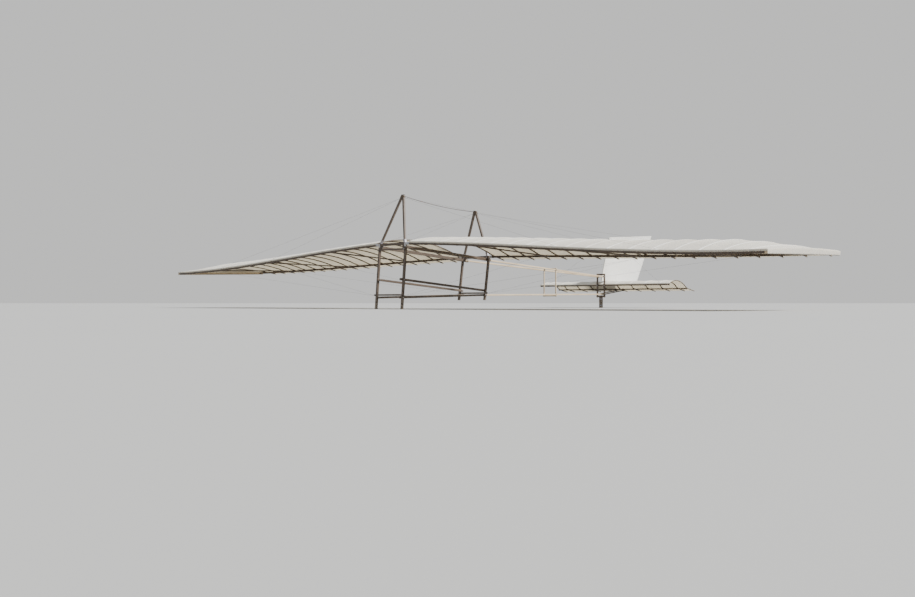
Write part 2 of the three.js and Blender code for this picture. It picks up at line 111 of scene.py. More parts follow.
class Graph:
    """Short calls to add and join the nodes of one node tree."""

    def __init__(self, tree: bpy.types.NodeTree) -> None:
        """Keep the tree."""
        self.tree = tree

    def feed(self, socket: Socket, value: object) -> None:
        """Link a socket into an input, or set the input's plain value."""
        if isinstance(value, Socket):
            self.tree.links.new(value, socket)
        else:
            socket.default_value = value

    def add(self, kind: str, inputs: dict | None = None, **settings: object) -> bpy.types.Node:
        """Add one node.

        Args:
            kind: the node's Blender type.
            inputs: values or sockets by the input's name or number.
            settings: plain properties of the node.

        Returns:
            The new node.
        """
        node = self.tree.nodes.new(kind)
        for name, value in settings.items():
            setattr(node, name, value)
        for key, value in (inputs or {}).items():
            self.feed(node.inputs[key], value)
        return node

    def math(self, operation: str, *values: object, clamp: bool = False) -> Socket:
        """Add a Math node."""
        inputs = dict(enumerate(values))
        return self.add("ShaderNodeMath", inputs, operation=operation, use_clamp=clamp).outputs[0]

    def times(self, first: object, second: object, clamp: bool = False) -> Socket:
        """Multiply two values."""
        return self.math("MULTIPLY", first, second, clamp=clamp)

    def plus(self, first: object, second: object, clamp: bool = False) -> Socket:
        """Add two values."""
        return self.math("ADD", first, second, clamp=clamp)

    def vector(self, operation: str, *values: object) -> Socket:
        """Add a Vector Math node and give its vector result."""
        return self.add("ShaderNodeVectorMath", dict(enumerate(values)), operation=operation).outputs[0]

    def parts(self, vector: Socket) -> Outputs:
        """Take a vector apart."""
        return self.add("ShaderNodeSeparateXYZ", {"Vector": vector}).outputs

    def ramp(self, value: object, low: float, high: float) -> Socket:
        """Ease a value from 0 at low to 1 at high."""
        inputs = {"Value": value, "From Min": low, "From Max": high}
        return self.add("ShaderNodeMapRange", inputs, interpolation_type="SMOOTHSTEP").outputs[0]

    def blend(self, factor: object, first: object, second: object) -> Socket:
        """Mix two colours.

        Args:
            factor: how much of the second one shows.
            first: a socket or a colour, seen at factor 0.
            second: a socket or a colour, seen at factor 1.

        Returns:
            The mixed colour.
        """
        node = self.add("ShaderNodeMix", {0: factor}, data_type="RGBA")
        for socket, value in zip((s for s in node.inputs if s.type == "RGBA"), (first, second)):
            self.feed(socket, value if isinstance(value, Socket) else (*value, 1.0))
        return next(s for s in node.outputs if s.type == "RGBA")

    def noise(self, vector: object, scale: float, detail: float = 3.0,
              stretch: Point | None = None) -> Socket:
        """Add a noise texture.

        Args:
            vector: the place.
            scale: the noise's scale.
            detail: its detail.
            stretch: factors for the place's parts.

        Returns:
            The noise.
        """
        at = self.vector("MULTIPLY", vector, stretch) if stretch else vector
        inputs = {"Vector": at, "Scale": scale, "Detail": detail}
        return self.add("ShaderNodeTexNoise", inputs).outputs["Fac"]

    def bump(self, height: Socket, strength: float, distance: float, **more: Socket) -> Socket:
        """Add a Bump node and give its normal."""
        inputs = {"Height": height, "Strength": strength, "Distance": distance, **more}
        return self.add("ShaderNodeBump", inputs).outputs["Normal"]

    def skin(self, colour: Socket, rough: object, **more: object) -> Socket:
        """Add the Principled shader.

        Args:
            colour: its base colour.
            rough: its roughness.
            more: its other inputs, with spaces as underscores.

        Returns:
            The shader.
        """
        inputs = {"Base Color": colour, "Roughness": rough}
        inputs |= {name.replace("_", " "): value for name, value in more.items()}
        return self.add("ShaderNodeBsdfPrincipled", inputs).outputs["BSDF"]


def sockets(tree: bpy.types.NodeTree, way: str, kinds: dict[str, str]) -> dict[str, str]:
    """Add named sockets to a group."""
    return {name: tree.interface.new_socket(name, in_out=way, socket_type="NodeSocket" + kind).identifier
        for name, kind in kinds.items()}


class ShaderGroups:
    """The node groups that several finishes share, each built once."""

    def __init__(self) -> None:
        """Build every group."""
        self.grain = self._build("timber_grain", self._fill_grain, {
            "Grain": "Vector", "Light": "Color", "Dark": "Color", "Contrast": "Float"},
            {"Colour": "Color", "Relief": "Float"})
        self.wear = self._build(
            "corner_wear", self._fill_wear, {"Place": "Vector", "Amount": "Float"}, {"Mask": "Float"})
        self.dust = self._build("field_dust", self._fill_dust, {
            "Place": "Vector", "Reach": "Float", "Settled": "Float"}, {"Mask": "Float"})
        self.weave = self._build("plain_weave", self._fill_weave, {
            "Cloth": "Vector", "Threads": "Float"}, {"Height": "Float", "Slub": "Float"})

    @staticmethod
    def _build(name: str, fill: Callable[[Graph, Outputs], Sockets],
            takes: dict[str, str], gives: dict[str, str]) -> bpy.types.NodeTree:
        """Make one group.

        Args:
            name: the group's name.
            fill: adds the nodes and gives what the group puts out.
            takes: type of each input.
            gives: type of each output.

        Returns:
            The node group.
        """
        tree = bpy.data.node_groups.new(name, "ShaderNodeTree")
        sockets(tree, "INPUT", takes)
        sockets(tree, "OUTPUT", gives)
        g = Graph(tree)
        results = fill(g, g.add("NodeGroupInput").outputs)
        g.add("NodeGroupOutput", dict(zip(gives, results)))
        return tree

    @staticmethod
    def _fill_grain(g: Graph, takes: Outputs) -> Sockets:
        """Long growth rings and fine pores, drawn out along the stick.

        Args:
            g: the group's graph.
            takes: the group's inputs.

        Returns:
            What the group puts out.
        """
        at = takes["Grain"]
        sway = g.times(g.noise(at, 1.0, 2.0, (3.0, 14.0, 14.0)), 3.5)
        aside = g.add("ShaderNodeCombineXYZ", {"Y": sway, "Z": sway}).outputs["Vector"]
        swayed = g.vector("ADD", g.vector("MULTIPLY", at, (2.2, 75.0, 75.0)), aside)
        streaks = g.ramp(g.noise(swayed, 1.0, 2.0), 0.38, 0.62)
        pores = g.noise(at, 1.0, 1.0, (28.0, 900.0, 900.0))
        patches = g.noise(at, 1.0, 2.0, (1.1, 3.0, 3.0))
        shade = g.math("MULTIPLY_ADD", streaks, 0.55, g.times(pores, 0.3))
        shade = g.plus(shade, g.times(patches, 0.45))
        shade = g.times(g.math("SUBTRACT", shade, 0.65), takes["Contrast"])
        colour = g.blend(g.plus(shade, 0.5, clamp=True), takes["Light"], takes["Dark"])
        return colour, g.plus(g.times(streaks, -0.4), g.times(pores, -0.6))

    @staticmethod
    def _fill_wear(g: Graph, takes: Outputs) -> Sockets:
        """Rubbed corners: the rounded edge's mask, broken up along its length.

        Args:
            g: the group's graph.
            takes: the group's inputs.

        Returns:
            What the group puts out.
        """
        edge = g.add("ShaderNodeAttribute", attribute_name="edge").outputs["Fac"]
        long_patches = g.ramp(g.noise(takes["Place"], 5.0, 2.0), 0.35, 0.65)
        chips = g.ramp(g.noise(takes["Place"], 90.0, 3.0), 0.3, 0.6)
        worn = g.times(edge, g.times(long_patches, chips))
        return (g.times(worn, takes["Amount"], clamp=True),)

    @staticmethod
    def _fill_dust(g: Graph, takes: Outputs) -> Sockets:
        """Field soil near the ground, and dust on what faces up.

        Args:
            g: the group's graph.
            takes: the group's inputs.

        Returns:
            What the group puts out.
        """
        height = g.parts(takes["Place"])["Z"]
        low = g.math("SUBTRACT", 1.0, g.math("DIVIDE", height, takes["Reach"]), clamp=True)
        splashes = g.ramp(g.noise(takes["Place"], 38.0, 5.0), 0.36, 0.6)
        soil = g.times(g.math("POWER", low, 1.6), splashes)
        upward = g.parts(g.add("ShaderNodeNewGeometry").outputs["Normal"])["Z"]
        clouds = g.ramp(g.noise(takes["Place"], 7.0, 4.0), 0.3, 0.75)
        settled = g.times(g.times(g.ramp(upward, 0.2, 1.0), clouds), takes["Settled"])
        return (g.math("MAXIMUM", soil, settled, clamp=True),)

    @staticmethod
    def _fill_weave(g: Graph, takes: Outputs) -> Sockets:
        """Crossing threads of plain cotton, with thicker slubs here and there.

        Args:
            g: the group's graph.
            takes: the group's inputs.

        Returns:
            What the group puts out.
        """
        cloth = takes["Cloth"]
        uneven = g.noise(cloth, 1.0, 2.0, (6.0, 6.0, 6.0))
        turns = g.add("ShaderNodeVectorMath", {0: cloth, "Scale": takes["Threads"]}, operation="SCALE")
        axes = g.parts(turns.outputs[0])
        warp, weft = (g.math("SINE", g.times(axes[way], math.tau)) for way in ("X", "Y"))
        woven = g.math("MULTIPLY_ADD", g.times(warp, weft), 0.5, 0.5)
        across = g.noise(cloth, 1.0, 2.0, (9.0, 900.0, 1.0))
        along = g.noise(cloth, 1.0, 2.0, (900.0, 9.0, 1.0))
        slub = g.math("MAXIMUM", g.ramp(across, 0.58, 0.78), g.ramp(along, 0.6, 0.8))
        return g.plus(woven, g.plus(slub, g.times(uneven, 0.6))), slub


@dataclass(frozen=True)
class Finish:
    """A finish makes its material once and hands it out."""

    name: str

    def material(self, groups: ShaderGroups) -> bpy.types.Material:
        """Give the finish's material, made at the first call.

        Args:
            groups: the shared shader groups.

        Returns:
            The material.
        """
        made = bpy.data.materials.get(self.name)
        if made is None:
            made = bpy.data.materials.new(self.name)
            made.use_nodes = True
            made.node_tree.nodes.clear()
            g = Graph(made.node_tree)
            place = g.add("ShaderNodeTexCoord").outputs["Object"]
            g.add("ShaderNodeOutputMaterial", {"Surface": self.surface(g, groups, place)})
        return made

    def surface(self, g: Graph, groups: ShaderGroups, place: Socket) -> Socket:
        """Build the shader and give its output."""
        raise NotImplementedError


@dataclass(frozen=True)
class TimberFinish(Finish):
    """Planed sticks, varnished or bare, with worn corners and field soil."""

    light: Colour
    dark: Colour
    bare: Colour
    roughness: float = 0.55
    varnish: float = 0.25
    contrast: float = 1.1
    rub: float = 0.8
    settled: float = 0.12
    soil_reach: float = 0.34
    soil: Colour = (0.33, 0.27, 0.20)
    soil_roughness: float = 0.85

    def surface(self, g: Graph, groups: ShaderGroups, place: Socket) -> Socket:
        """Grain under varnish, paler where it is rubbed through, dirty below.

        Args:
            g: the material's graph.
            groups: the shared shader groups.
            place: the place on the object.

        Returns:
            The shader.
        """
        grain_at = g.add("ShaderNodeAttribute", attribute_name="grain").outputs["Vector"]
        grain = g.add("ShaderNodeGroup", {
            "Grain": grain_at, "Light": (*self.light, 1.0), "Dark": (*self.dark, 1.0),
            "Contrast": self.contrast}, node_tree=groups.grain).outputs
        worn = g.add("ShaderNodeGroup", {
            "Place": place, "Amount": self.rub}, node_tree=groups.wear).outputs["Mask"]
        dust = g.add("ShaderNodeGroup", {"Place": place, "Reach": self.soil_reach, "Settled": self.settled},
            node_tree=groups.dust).outputs["Mask"]
        colour = g.blend(dust, g.blend(worn, grain["Colour"], self.bare), self.soil)
        rough = g.plus(self.roughness - 0.1, g.times(g.noise(place, 11.0, 3.0), 0.2))
        rough = g.math("MAXIMUM", rough, g.times(dust, self.soil_roughness))
        shine = g.times(g.math("SUBTRACT", 1.0, worn), self.varnish)
        return g.skin(colour, rough, Normal=g.bump(grain["Relief"], 0.35, 0.0006),
            Coat_Weight=shine, Coat_Roughness=0.3)


@dataclass(frozen=True)
class ClothFinish(Finish):
    """Thin unbleached cotton that lets light through."""

    clean: Colour
    stained: Colour
    through: Colour
    glow: float = 0.5
    threads: float = 700.0

    def surface(self, g: Graph, groups: ShaderGroups, place: Socket) -> Socket:
        """Weave, stains and soft creases over a see-through cloth.

        Args:
            g: the material's graph.
            groups: the shared shader groups.
            place: the place on the object.

        Returns:
            The shader.
        """
        cloth = g.add("ShaderNodeUVMap", uv_map="cloth").outputs["UV"]
        weave = g.add("ShaderNodeGroup", {
            "Cloth": cloth, "Threads": self.threads}, node_tree=groups.weave).outputs
        blots = g.ramp(g.noise(place, 1.6, 5.0, (1.0, 0.6, 1.0)), 0.42, 0.72)
        spots = g.ramp(g.noise(place, 21.0, 4.0), 0.66, 0.78)
        stain = g.plus(g.times(blots, 0.35), g.times(spots, 0.2), clamp=True)
        colour = g.blend(stain, self.clean, self.stained)
        colour = g.blend(g.times(weave["Slub"], 0.25), colour, self.stained)
        creases = g.noise(place, 26.0, 4.0, (1.0, 0.35, 1.0))
        normal = g.bump(creases, 0.3, 0.004, Normal=g.bump(weave["Height"], 0.2, 0.0002))
        outside = g.skin(colour, g.math("MULTIPLY_ADD", creases, 0.1, 0.8), Normal=normal,
            Sheen_Weight=0.15, Sheen_Roughness=0.5)
        light = g.add("ShaderNodeBsdfTranslucent", {
            "Color": g.blend(stain, self.through, self.stained), "Normal": normal}).outputs["BSDF"]
        return g.add("ShaderNodeMixShader", {0: self.glow, 1: outside, 2: light}).outputs["Shader"]


@dataclass(frozen=True)
class SteelFinish(Finish):
    """Dull plate and wire with rust freckles and rubbed corners."""

    colour: Colour
    rust: Colour = (0.20, 0.09, 0.045)
    roughness: float = 0.42
    rusting: float = 0.35
    rub: float = 0.7
    polish: float = 1.6

    def surface(self, g: Graph, groups: ShaderGroups, place: Socket) -> Socket:
        """Metal that is less metallic and rougher where it rusts.

        Args:
            g: the material's graph.
            groups: the shared shader groups.
            place: the place on the object.

        Returns:
            The shader.
        """
        worn = g.add("ShaderNodeGroup", {
            "Place": place, "Amount": self.rub}, node_tree=groups.wear).outputs["Mask"]
        freckles = g.ramp(g.noise(place, 160.0, 5.0), 0.52, 0.7)
        clouds = g.ramp(g.noise(place, 16.0, 3.0), 0.4, 0.7)
        rusty = g.times(g.math("MAXIMUM", freckles, clouds), self.rusting, clamp=True)
        bright = tuple(min(1.0, self.polish * c) for c in self.colour)
        colour = g.blend(rusty, g.blend(worn, self.colour, bright), self.rust)
        metallic = g.math("SUBTRACT", 0.95, g.times(rusty, 0.8), clamp=True)
        normal = g.bump(g.noise(place, 420.0, 3.0), 0.25, 0.0002)
        return g.skin(colour, g.math("MULTIPLY_ADD", rusty, 0.45, self.roughness),
            Metallic=metallic, Normal=normal)


@dataclass(frozen=True)
class TwineFinish(Finish):
    """Tarred or waxed twine for lashings, stitches and the trailing edge cord."""

    colour: Colour
    deep: Colour

    def surface(self, g: Graph, groups: ShaderGroups, place: Socket) -> Socket:
        """Fibres that catch the light a little differently from turn to turn.

        Args:
            g: the material's graph.
            groups: the shared shader groups.
            place: the place on the object.

        Returns:
            The shader.
        """
        fibres = g.noise(place, 900.0, 2.0)
        colour = g.blend(g.ramp(fibres, 0.35, 0.65), self.deep, self.colour)
        rough = g.math("MULTIPLY_ADD", fibres, 0.15, 0.75)
        return g.skin(colour, rough, Normal=g.bump(fibres, 0.4, 0.0004))


@dataclass(frozen=True)
class FloorFinish(Finish):
    """Plain pale studio floor, which throws little light up, as turf does."""

    colour: Colour
    thrown: Colour
    mottling: float = 0.96

    def surface(self, g: Graph, groups: ShaderGroups, place: Socket) -> Socket:
        """A matt surface with the faintest mottling.

        Args:
            g: the material's graph.
            groups: the shared shader groups.
            place: the place on the object.

        Returns:
            The shader.
        """
        deeper = tuple(self.mottling * c for c in self.colour)
        colour = g.blend(g.noise(place, 0.7, 3.0), self.colour, deeper)
        seen = g.add("ShaderNodeLightPath").outputs["Is Camera Ray"]
        return g.skin(g.blend(seen, self.thrown, colour), 0.9)


# Painted shade: the frame, the spars and the king posts are the same wood as the boom, darkened to the tone
# of their shaded side.
SHADE_DARKENED_TIMBER = TimberFinish(
    "weathered_varnished_timber", (0.110, 0.075, 0.049), (0.047, 0.031, 0.020), (0.36, 0.27, 0.18))
# Painted shade: the ribs and fin sticks are that same wood, darkened to how they look from below against the
# lit cloth.
SHADE_DARKENED_RIB_TIMBER = TimberFinish("rib_timber", (0.135, 0.096, 0.063), (0.062, 0.042, 0.027), (0.27, 0.20, 0.135),
    varnish=0.12, rub=0.4)
# Painted light: the boom rails and the tip bars take a paler, sunlit tone of that same wood.
SUNLIT_PAINTED_TIMBER = TimberFinish("bare_spruce", (0.66, 0.535, 0.37), (0.42, 0.305, 0.18), (0.74, 0.64, 0.48),
    roughness=0.62, varnish=0.08, contrast=0.9, rub=0.5, settled=0.06)
WING_CLOTH = ClothFinish("wing_cotton", (0.86, 0.835, 0.765), (0.66, 0.60, 0.49), (0.82, 0.77, 0.66))
TAPE_CLOTH = ClothFinish("tape_cotton", (0.90, 0.88, 0.82), (0.70, 0.64, 0.53), (0.80, 0.75, 0.64), glow=0.15)
FIN_CLOTH = ClothFinish("fin_cotton", (0.94, 0.93, 0.89), (0.72, 0.67, 0.57), (0.85, 0.81, 0.72), glow=0.25)
FITTING_STEEL = SteelFinish("dull_steel", (0.33, 0.34, 0.36))
PALE_STEEL = SteelFinish("galvanised_plate", (0.60, 0.61, 0.61), rusting=0.15, roughness=0.38)
WIRE_STEEL = SteelFinish("stay_wire", (0.10, 0.10, 0.105), rusting=0.5, roughness=0.6)
COPPER = SteelFinish("tarnished_copper", (0.42, 0.24, 0.15), rust=(0.10, 0.13, 0.09), roughness=0.4)
DARK_TWINE = TwineFinish("tarred_twine", (0.17, 0.125, 0.08), (0.07, 0.05, 0.032))
PALE_TWINE = TwineFinish("cotton_twine", (0.72, 0.66, 0.53), (0.48, 0.42, 0.31))
STUDIO_FLOOR = FloorFinish("pale_floor", (0.31, 0.306, 0.295), (0.18, 0.175, 0.165))


# Mesh tools


def new_object(name: str, mesh: Mesh) -> Piece:
    """Link a mesh into the scene as an object at the origin.

    Args:
        name: the object's name.
        mesh: its mesh.

    Returns:
        The object.
    """
    made = bpy.data.objects.new(name, mesh)
    bpy.context.scene.collection.objects.link(made)
    return made


def mesh_of(name: str, points: Iterable, edges: Iterable = (), faces: Iterable = ()) -> Mesh:
    """Make a mesh from plain lists.

    Args:
        name: the mesh's name.
        points: its corners.
        edges: pairs of corner numbers.
        faces: rings of corner numbers.

    Returns:
        The mesh.
    """
    mesh = bpy.data.meshes.new(name)
    mesh.from_pydata([tuple(p) for p in points], list(edges), list(faces))
    mesh.update()
    return mesh


def closed_mesh(name: str, points: Iterable, faces: Iterable[Ring]) -> Mesh:
    """Make a closed mesh whose faces all look outwards.

    Args:
        name: the mesh's name.
        points: its corners.
        faces: rings of corner numbers.

    Returns:
        The mesh.
    """
    mesh = mesh_of(name, points, (), faces)
    shape = bmesh.new()
    shape.from_mesh(mesh)
    bmesh.ops.recalc_face_normals(shape, faces=shape.faces)
    shape.to_mesh(mesh)
    shape.free()
    return mesh


def tube_faces(rings: int, count: int, closed: bool = True) -> list[Ring]:
    """Join rings of corners by squares.

    Args:
        rings: how many rings there are.
        count: corners in each ring.
        closed: join the last ring to the first.

    Returns:
        The faces.
    """
    faces = []
    for ring in range(rings if closed else rings - 1):
        here, there = ring * count, (ring + 1) % rings * count
        faces += [(here + k, here + m, there + m, there + k) for k, m in around(range(count))]
    return faces


def store(mesh: Mesh, key: str, values: Iterable) -> None:
    """Store one number or one vector for each corner of a mesh.

    Args:
        mesh: the mesh.
        key: the attribute's name.
        values: what it holds.
    """
    table = np.asarray([tuple(v) if isinstance(v, Vector) else v for v in values], dtype=np.float32)
    kind, field = ("FLOAT", "value") if table.ndim == 1 else ("FLOAT_VECTOR", "vector")
    mesh.attributes.new(key, kind, "POINT").data.foreach_set(field, table.ravel())


def lay_out(mesh: Mesh, flat: Iterable[Pair]) -> None:
    """Give a cloth its layout map in metres, from one flat place for each corner.

    Args:
        mesh: the cloth.
        flat: a place in metres for each corner.
    """
    loops = np.zeros(len(mesh.loops), dtype=np.int32)
    mesh.loops.foreach_get("vertex_index", loops)
    places = np.asarray(flat, dtype=np.float32)[loops]
    mesh.uv_layers.new(name="cloth").uv.foreach_set("vector", places.ravel())


def plain_mesh(worked: Piece, name: str) -> Piece:
    """Turn an object and its modifiers into a plain mesh object.

    Args:
        worked: the object with live modifiers; it is removed.
        name: the new object's name.

    Returns:
        The plain object.
    """
    graph = bpy.context.evaluated_depsgraph_get()
    mesh = bpy.data.meshes.new_from_object(worked.evaluated_get(graph), depsgraph=graph)
    source = worked.data
    bpy.data.objects.remove(worked)
    bpy.data.meshes.remove(source)
    mesh.name = name
    return new_object(name, mesh)


def dressed(piece: Piece, material: bpy.types.Material) -> Piece:
    """Give a piece one material and nothing else.

    Args:
        piece: the piece.
        material: its material.

    Returns:
        The same piece.
    """
    piece.data.materials.clear()
    piece.data.materials.append(material)
    piece.data.polygons.foreach_set("material_index", [0] * len(piece.data.polygons))
    return piece


def joined(name: str, parts: list[Piece]) -> Piece:
    """Join plain mesh objects into one and keep their attributes.

    Args:
        name: the joined object's name.
        parts: the objects, of which the first takes in the rest.

    Returns:
        The joined object.
    """
    first = parts[0]
    with bpy.context.temp_override(active_object=first, object=first, selected_objects=parts,
            selected_editable_objects=parts):
        bpy.ops.object.join()
    first.name = first.data.name = name
    return first


def lines_mesh(name: str, lines: Iterable[Line], **facts: Sequence[Point]) -> Mesh:
    """Make open polylines for a Geometry Nodes tree to sweep.

    Args:
        name: the mesh's name.
        lines: one list of points for each polyline.
        facts: one vector for each point, stored under the fact's name.

    Returns:
        A mesh of edges.
    """
    points: list[Point] = []
    edges: list[tuple[int, int]] = []
    for line in lines:
        start = len(points)
        points += line
        edges += [(i, i + 1) for i in range(start, len(points) - 1)]
    mesh = mesh_of(name, points, edges)
    for key, values in facts.items():
        store(mesh, key, values)
    return mesh


# Geometry Nodes trees


class GeometryTree:
    """A Geometry Nodes tree with named inputs, built in the script."""

    def __init__(self, name: str, **kinds: str) -> None:
        """Start the tree with its geometry, its sizes and its material.

        Args:
            name: the tree's name.
            kinds: the type of each size.
        """
        self.tree = bpy.data.node_groups.new(name, "GeometryNodeTree")
        self.sockets = sockets(self.tree, "INPUT", {"Geometry": "Geometry", **kinds, "Material": "Material"})
        sockets(self.tree, "OUTPUT", {"Geometry": "Geometry"})
        self.graph = Graph(self.tree)
        self.takes = self.graph.add("NodeGroupInput").outputs

    def step(self, kind: str, inputs: dict | None = None, **settings: object) -> Socket:
        """Add one node and give its first output."""
        return self.graph.add(kind, inputs, **settings).outputs[0]

    def path(self) -> Socket:
        """Turn the incoming edges into smooth curves.

        Returns:
            The curves.
        """
        path = self.step("GeometryNodeMeshToCurve", {"Mesh": self.takes["Geometry"]})
        path = self.step("GeometryNodeCurveSplineType", {"Curve": path}, spline_type="CATMULL_ROM")
        smooth = {"Geometry": path, "Resolution": self.takes["Steps"]}
        return self.step("GeometryNodeSetSplineResolution", smooth)

    def sweep(self, path: Socket, section: Socket) -> Socket:
        """Carry a closed section along a path."""
        inputs = {"Curve": path, "Profile Curve": section, "Fill Caps": True}
        return self.step("GeometryNodeCurveToMesh", inputs)

    def close(self, geometry: Socket) -> None:
        """End the tree: make instances real, set the material and put out the result.

        Args:
            geometry: what the tree has made.
        """
        real = self.step("GeometryNodeRealizeInstances", {"Geometry": geometry})
        done = self.step("GeometryNodeSetMaterial", {"Geometry": real, "Material": self.takes["Material"]})
        self.graph.add("NodeGroupOutput", {"Geometry": done})

    def run(self, name: str, mesh: Mesh, **values: object) -> Piece:
        """Run the tree on a mesh.

        Args:
            name: the name of the piece.
            mesh: the tree's input geometry.
            values: one value for each named input.

        Returns:
            The result as a plain mesh object.
        """
        carrier = new_object(name + "_carrier", mesh)
        modifier = carrier.modifiers.new(self.tree.name, "NODES")
        modifier.node_group = self.tree
        for label, value in values.items():
            modifier[self.sockets[label]] = value
        return dressed(plain_mesh(carrier, name), values["Material"])


class BarSweep(GeometryTree):
    """Sweeps a squared stick with rounded corners along polylines."""

    GRAIN_SHIFT = (7.0, 3.0, 3.0)
    GRAIN_SEED = 4
    EDGE_SHARE = -0.6

    def __init__(self) -> None:
        """Build the tree."""
        super().__init__("squared_stick", Width="Float", Depth="Float", Corner="Float", Steps="Int")
        g, takes = self.graph, self.takes
        path = self.step("GeometryNodeSetCurveNormal", {"Curve": self.path()}, mode="Z_UP")
        along = g.add("GeometryNodeSplineParameter").outputs["Length"]
        chance = self.step("FunctionNodeRandomValue", {
            "Min": (0.0, 0.0, 0.0), "Max": self.GRAIN_SHIFT, "ID": self.step("GeometryNodeInputIndex"),
            "Seed": self.GRAIN_SEED}, data_type="FLOAT_VECTOR")
        offset = self.step("GeometryNodeFieldOnDomain", {0: chance}, data_type="FLOAT_VECTOR",
            domain="CURVE")
        path, run = self._keep(path, "FLOAT", along)
        path, shift = self._keep(path, "VECTOR", offset)
        section = self.step("GeometryNodeCurvePrimitiveQuadrilateral", {
            "Width": takes["Width"], "Height": takes["Depth"]}, mode="RECTANGLE")
        section = self.step("GeometryNodeFilletCurve", {
            "Curve": section, "Radius": takes["Corner"], "Limit Radius": True, "Count": 2}, mode="POLY")
        section, spot = self._keep(section, "VECTOR", self.step("GeometryNodeInputPosition"))
        flat = g.parts(spot)
        vector = self.step("ShaderNodeCombineXYZ", {"X": run, "Y": flat["X"], "Z": flat["Y"]})
        grain = g.vector("ADD", vector, shift)
        swept = self._store(self.sweep(path, section), "FLOAT_VECTOR", "grain", grain)
        near = g.parts(g.vector("ABSOLUTE", spot))
        limits = [g.math("MULTIPLY_ADD", takes[size], 0.5, g.times(takes["Corner"], self.EDGE_SHARE))
            for size in ("Width", "Depth")]
        beyond = [g.math("GREATER_THAN", near[way], limit) for way, limit in zip("XY", limits)]
        self.close(self._store(swept, "FLOAT", "edge", g.times(*beyond)))

    def _keep(self, geometry: Socket, kind: str, field: Socket) -> tuple[Socket, Socket]:
        """Capture a field on the points of a curve.

        Args:
            geometry: the curve.
            kind: the field's type.
            field: the field.

        Returns:
            The curve and the kept values.
        """
        node = self.graph.add("GeometryNodeCaptureAttribute", {"Geometry": geometry})
        node.capture_items.new(kind, "kept")
        self.graph.feed(node.inputs[1], field)
        return node.outputs[0], node.outputs[1]

    def _store(self, geometry: Socket, kind: str, name: str, field: Socket) -> Socket:
        """Store a field on the mesh's points under a name.

        Args:
            geometry: the mesh.
            kind: the field's type.
            name: the attribute's name.
            field: the field.

        Returns:
            The mesh with its attribute.
        """
        inputs = {"Geometry": geometry, "Name": name}
        node = self.graph.add("GeometryNodeStoreNamedAttribute", inputs, data_type=kind, domain="POINT")
        self.graph.feed(next(s for s in node.inputs if s.name == "Value" and s.enabled), field)
        return node.outputs[0]


class RoundSweep(GeometryTree):
    """Sweeps a round wire or cord along polylines."""

    def __init__(self) -> None:
        """Build the tree."""
        super().__init__("round_line", Radius="Float", Sides="Int", Steps="Int")
        ring = self.step("GeometryNodeCurvePrimitiveCircle", {
            "Resolution": self.takes["Sides"], "Radius": self.takes["Radius"]}, mode="RADIUS")
        self.close(self.step("GeometryNodeSetShadeSmooth", {"Geometry": self.sweep(self.path(), ring)}))


class Scatter(GeometryTree):
    """Sets one small shape on every point, turned by the point's own two directions."""

    SIZE_SEED = 11

    def __init__(self) -> None:
        """Build the tree."""
        super().__init__("set_fasteners", Shape="Object", Size="Float", Uneven="Float")
        g, takes = self.graph, self.takes
        points = self.step("GeometryNodeMeshToPoints", {"Mesh": takes["Geometry"]})
        outward, along = (
            self.step("GeometryNodeInputNamedAttribute", {"Name": name}, data_type="FLOAT_VECTOR")
            for name in ("outward", "along"))
        turn = self.step("FunctionNodeAxesToRotation", {0: outward, 1: along}, primary_axis="Z",
            secondary_axis="X")
        chance = g.add("FunctionNodeRandomValue", {
            "Min": g.math("SUBTRACT", 1.0, takes["Uneven"]), "Max": g.plus(1.0, takes["Uneven"]),
            "Seed": self.SIZE_SEED}, data_type="FLOAT")
        size = g.times(next(s for s in chance.outputs if s.enabled), takes["Size"])
        shape = g.add("GeometryNodeObjectInfo", {"Object": takes["Shape"]}).outputs["Geometry"]
        self.close(self.step("GeometryNodeInstanceOnPoints", {
            "Points": points, "Instance": shape, "Rotation": turn, "Scale": size}))


# Sub-assemblies


